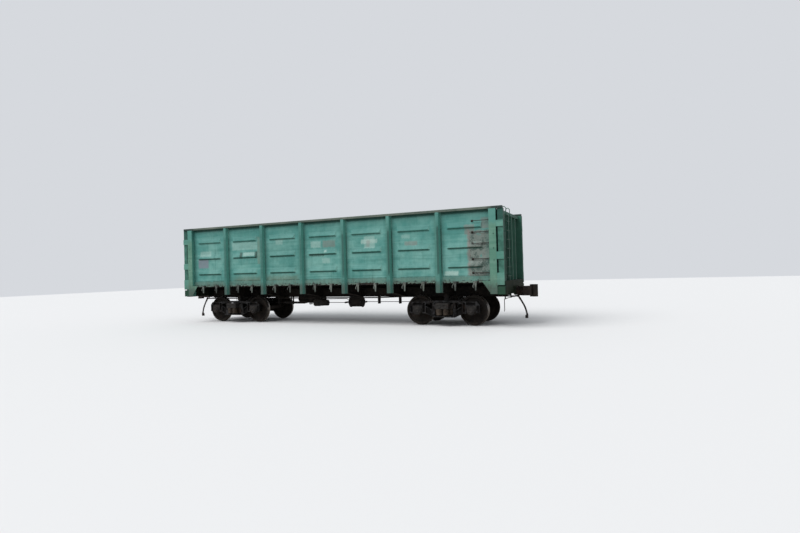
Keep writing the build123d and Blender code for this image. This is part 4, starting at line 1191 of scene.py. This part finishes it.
def coupler_end():
    rivets = [((STRIKER_FACE, y, z), -math.pi / 2) for y, z in STRIKER_RIVETS]
    pieces = [bolts("rivets", 0.014, 0.010, rivets)]
    for low, high in LIPS:
        lip = block("lip", (STRIKER_FACE - 0.002, *low), (STRIKER_FACE + 0.012, *high))
        pieces.append(soften(lip, 0.004))
    boss = rod("boss", 0.034, LOCK_BOSS, LOCK_BOSS + Vector((0, -0.050, 0)), 24)
    edit(boss)
    pick_side((0, -1, 0))
    inset(0.010)
    extrude((0, -0.014, 0))
    inset(0.008, push=(0, 0.005, 0))
    done()
    pieces.append(soften(boss, 0.002, 1))
    for foot, rise in ((SHANK_TOP - 0.004, 0.050), (SHANK_BOTTOM + 0.004, -0.050)):
        low, high = sorted((foot, foot + rise))
        web = block("web", (WEB_SPAN[0], -WEB_HALF, low), (WEB_SPAN[1], WEB_HALF, high))
        for vertex in web.data.vertices:
            if vertex.co.x < WEB_SPAN[0] + 0.01 and (vertex.co.z - foot) * rise > 0.0001:
                vertex.co.z = foot + rise * 0.1
        pieces.append(soften(web, 0.003, 1))
    return pieces


on_both_ends("coupler_castings", coupler_end(), coupler_steel)

# %% [markdown]
# A short chain runs from the inner end of the uncoupling lever to the lock shaft on the coupler. A link
# is a ring with both halves pulled apart, and every second one is turned a quarter round. Each hangs a
# little lower than a straight line would have it, because a chain sags.

# %% Uncoupling chains
CHAIN_START = Vector((6.380, -0.185, 0.898))
CHAIN_END = Vector((6.700, -0.204, 1.036))
CHAIN_LINKS = 9
CHAIN_SAG = 0.035
CHAIN_ROLL = 0.3


def chain_link():
    link = ring("chain_link", 0.013, 0.0042, 12, 6)
    for vertex in link.data.vertices:
        if abs(vertex.co.x) > 0.001:
            vertex.co.x += math.copysign(0.009, vertex.co.x)
    return link


def uncoupling_chain():
    spots = []
    for n in range(CHAIN_LINKS + 1):
        share = n / CHAIN_LINKS
        sag = CHAIN_SAG * 4 * share * (1 - share)
        spots.append(CHAIN_START.lerp(CHAIN_END, share) - Vector((0, 0, sag)))
    turns = []
    for n, (start, end) in enumerate(zip(spots, spots[1:])):
        along = (end - start).to_track_quat("X", "Z").to_matrix().to_4x4()
        roll = Matrix.Rotation(math.pi / 2 * (n % 2) + CHAIN_ROLL, 4, "X")
        turns.append(Matrix.Translation((start + end) / 2) @ along @ roll)
    return repeated("chain", chain_link(), turns)


on_both_ends("uncoupling_chains", [uncoupling_chain()], coupler_steel, angle=60)

# %% [markdown]
# The hose is pushed over the cock's outlet and gripped by a collar, which tapers on to the rubber so
# that the hose can bend without kinking, and by a band with an ear for its bolt.

# %% Hose collars
COLLAR_LENGTH = 0.050
BAND_PLACE = 0.075
BAND_HALF = 0.009


def hose_collar():
    outlet = Vector((HOSE_STEPS[1][0], 0, HOSE_STEPS[1][1])).normalized()
    start = HOSE_START - outlet * 0.006
    collar = rod("hose_collar", 0.036, start, start + outlet * COLLAR_LENGTH, 24)
    edit(collar)
    pick_side(outlet)
    bpy.ops.transform.resize(value=(0.82, 0.82, 0.82))
    done()
    middle = HOSE_START + outlet * BAND_PLACE
    band = rod("band", 0.0305, middle - outlet * BAND_HALF, middle + outlet * BAND_HALF, 24)
    edit(band)
    pick(lambda face: abs(face.normal.dot(outlet)) > 0.9)
    inset(0.0015)
    done()
    ear = block(
        "band_ear", middle + Vector((-0.008, 0.028, -0.008)), middle + Vector((0.008, 0.046, 0.008))
    )
    return [soften(collar, 0.002), band, soften(ear, 0.003, 1)]


on_both_ends("hose_collars", hose_collar(), coupler_steel)

# %% [markdown]
# Ten bolts hold each cover of the brake cylinder, and two straps with a buckle hold the reservoir. A
# strap is a rod with its two end faces removed, and Solidify gives it thickness.

# %% Brake gear fittings
CYLINDER_AXIS = (0, 0.728)
CYLINDER_ENDS = ((0.282, -1), (0.778, 1))
CYLINDER_BOLTS = 10
CYLINDER_BOLT_CIRCLE = 0.176
CYLINDER_SPOTS = [
    ((x, CYLINDER_AXIS[0] + across, CYLINDER_AXIS[1] + up), -hand * math.pi / 2)
    for x, hand in CYLINDER_ENDS
    for across, up in round_spots(CYLINDER_BOLTS, CYLINDER_BOLT_CIRCLE)
]
RESERVOIR_AXIS = (0.480, 0.828)
RESERVOIR_STRAPS = (-2.100, -1.400)


def strap(x):
    y, z = RESERVOIR_AXIS
    band = rod("strap", 0.1565, (x - 0.024, y, z), (x + 0.024, y, z), 40)
    edit(band)
    pick(lambda face: abs(face.normal.x) > 0.9)
    bpy.ops.mesh.delete(type="FACE")
    done()
    modify(band, "SOLIDIFY", thickness=0.006, offset=1)
    buckle = block("buckle", (x - 0.020, y - 0.176, z - 0.018), (x + 0.020, y - 0.158, z + 0.018))
    return joined("strap", [band, soften(buckle, 0.004, 1)])


fittings = joined("brake_fittings", [
    bolts("cylinder_bolts", 0.013, 0.012, CYLINDER_SPOTS), *(strap(x) for x in RESERVOIR_STRAPS),
])
hand_over(fittings, "wagon_body", brake_steel)

# %% [markdown]
# Thin pipes join the valve to the main pipe, the cylinder and the reservoir, and clips hold the main
# pipe to the sill. A bent pipe is a curve with a round section, turned into a mesh, since steel pipe
# doesn't move. The left-hand rod has the slack adjuster, a tube with a nut at each end.

# %% Branch pipes, clips and slack adjuster
BRANCH_DIAMETER = 0.022
BRANCHES = (
    ((-0.66, -0.48, 0.80), (-0.66, -0.48, 0.855), (-0.60, -0.30, 0.855), (0.12, -0.12, 0.855),
     (0.22, -0.12, 0.840), (0.22, -0.12, 0.800), (0.29, -0.12, 0.800)),
    ((-0.78, -0.48, 0.80), (-0.78, -0.48, 0.858), (-0.86, -0.20, 0.858), (-1.04, 0.30, 0.858),
     (-1.08, 0.48, 0.840), (-1.215, 0.48, 0.828)),
    ((-0.90, -0.30, 0.890), (-0.90, -0.36, 0.886), (-0.90, -0.44, 0.850), (-0.90, -0.46, 0.80)),
)
MAIN_PIPE = (0.300, 0.898)
MAIN_PIPE_RADIUS = 0.021
CLIP_PLACES = (2.75, 3.30, 5.55, 6.05)
SILL_BOTTOM = 0.933
ADJUSTER = ((-2.62, 0.026), (-2.56, 0.046), (-1.62, 0.046), (-1.54, 0.030))
ROD_LINE = (-0.230, 0.718)
STRAP_PLACES = (-2.80, -2.20, -1.35)
STRAP_REACH = 0.066
STRAP_THICKNESS = 0.007


def bent_pipe(points):
    only(tube("bent_pipe", points, BRANCH_DIAMETER, bevel=2, steps=5))
    bpy.ops.object.convert(target="MESH")
    return sealed(bpy.context.object, 0.00005)


def pipe_clip(x):
    loop = ring(
        "clip_ring", MAIN_PIPE_RADIUS + 0.004, 0.005, 20, 6,
        location=(x, *MAIN_PIPE), rotation=(0, math.pi / 2, 0),
    )
    plate = block("plate", (x - 0.020, 0.225, SILL_BOTTOM - 0.010), (x + 0.020, 0.330, SILL_BOTTOM))
    return joined("pipe_clip", [loop, soften(plate, 0.002, 1)])


def slack_adjuster():
    y, z = ROD_LINE
    (start, thin), (shoulder, wide), (far, _), (finish, narrow) = ADJUSTER
    body = rod("adjuster", wide, (shoulder, y, z), (far, y, z), 24)
    edit(body)
    for hand, reach, radius in ((-1, shoulder - start, thin), (1, finish - far, narrow)):
        pick_side((hand, 0, 0))
        bpy.ops.transform.resize(value=(1, 0.94, 0.94))
        extrude((0, 0, 0), size=(1, radius / wide, radius / wide))
        extrude((hand * reach, 0, 0))
    done()
    nuts = [nut(0.030, (x, y, z), (x + 0.024, y, z)) for x in (start - 0.020, finish - 0.004)]
    return joined("slack_adjuster", [body, *nuts])


def rod_strap(x):
    """A flat bar bent into a U under the brake rod, to catch it if a pin breaks."""
    y, z = ROD_LINE
    near, far, foot = y - STRAP_REACH, y + STRAP_REACH, z - 0.062
    bars = (
        (near, foot, near + STRAP_THICKNESS, SILL_BOTTOM),
        (far - STRAP_THICKNESS, foot, far, SILL_BOTTOM),
        (near, foot - STRAP_THICKNESS, far, foot),
    )
    return joined("rod_strap", [
        soften(block("bar", (x - 0.030, y_low, z_low), (x + 0.030, y_high, z_high)), 0.0015, 1)
        for y_low, z_low, y_high, z_high in bars
    ])


branches = [bent_pipe(points) for points in BRANCHES]
clips = joined("clips", [pipe_clip(x) for x in CLIP_PLACES])
straps = joined("straps", [rod_strap(x) for x in STRAP_PLACES])
small_pipes = joined("small_pipes", [
    *branches, repeated("clips", clips, BOTH_ENDS), repeated("straps", straps, BOTH_ENDS),
    slack_adjuster(),
])
hand_over(small_pipes, "wagon_body", brake_steel)

# %% [markdown]
# The end of the bolster shows through the window of each side frame, with two oval core holes from its
# casting. Each is a short rod, squeezed to an oval, inset and sunk.

# %% Bolster end castings
BOLSTER_END = 1.298
CORE_HEIGHT = 0.662
CORE_SHIFT = 0.105


def core_hole(x, hand):
    outward = Vector((0, hand, 0))
    start = Vector((x, hand * BOLSTER_END, CORE_HEIGHT)) - outward * 0.004
    rim = rod("core_hole", 0.056, start, start + outward * 0.014, 28)
    edit(rim)
    bpy.ops.mesh.select_all(action="SELECT")
    bpy.ops.transform.resize(value=(1.35, 1, 0.95), center_override=start)
    pick_side(outward)
    inset(0.012)
    extrude(-outward * 0.009)
    done()
    return soften(rim, 0.002)


for end, place in BOGIES:
    holes = [core_hole(place + side * CORE_SHIFT, hand) for side in HANDS for hand in HANDS]
    hand_over(joined(f"bolster_cores_{end}", holes), f"bogie_{end}", bogie_steel)

# %% [markdown]
# The floor and the light are a plain studio, with the light of an overcast day: an even glow that
# lights tops and leaves undersides dark, and one wide sun from over the camera's left shoulder. The
# floor looks pale to the camera but throws back little light, so the underframe stays dark.

# %% The floor and the light
FLOOR_REACH = 60
SKY_SEEN = (214, 217, 222)
SKY_TINT = (0.93, 0.96, 1.0, 1)
SKY_STRENGTH = 0.62
SUN_FROM = Vector((-4.0, -5.0, 7.5))
SUN_STRENGTH = 2.9
SUN_WIDTH = math.radians(50)

bpy.ops.mesh.primitive_plane_add(size=2 * FLOOR_REACH, location=(0, 0, 0))
floor = bpy.context.object
floor.name = "studio_floor"
ground = Finish("floor_finish")
to_camera = ground.node("ShaderNodeLightPath", {}, output="Is Camera Ray")
ground.colour = ground.blend(to_camera, (142, 134, 124), (214, 214, 214))
ground.rough = 0.9
floor.data.materials.append(ground.ready())

world = bpy.data.worlds.new("even_sky")
bpy.context.scene.world = world
world.use_nodes = True
sky = Tree(world.node_tree)
to_camera, glossy, through = (
    sky.node("ShaderNodeLightPath", {}, output=f"Is {kind} Ray")
    for kind in ("Camera", "Glossy", "Transmission")
)
glow = sky.node("ShaderNodeBackground", {}, SKY_TINT, SKY_STRENGTH)
seen = sky.node("ShaderNodeBackground", {}, linear(*SKY_SEEN), 1.0)
shown = sky.node("ShaderNodeMixShader", {}, to_camera.maximum(glossy).maximum(through), glow, seen)
sky.feed(world.node_tree.nodes["World Output"].inputs["Surface"], shown)

bpy.ops.object.light_add(type="SUN", location=SUN_FROM)
sun = bpy.context.object
sun.rotation_euler = SUN_FROM.to_track_quat("Z", "Y").to_euler()
sun.data.energy = SUN_STRENGTH
sun.data.angle = SUN_WIDTH
bpy.context.scene.view_settings.view_transform = "Standard"
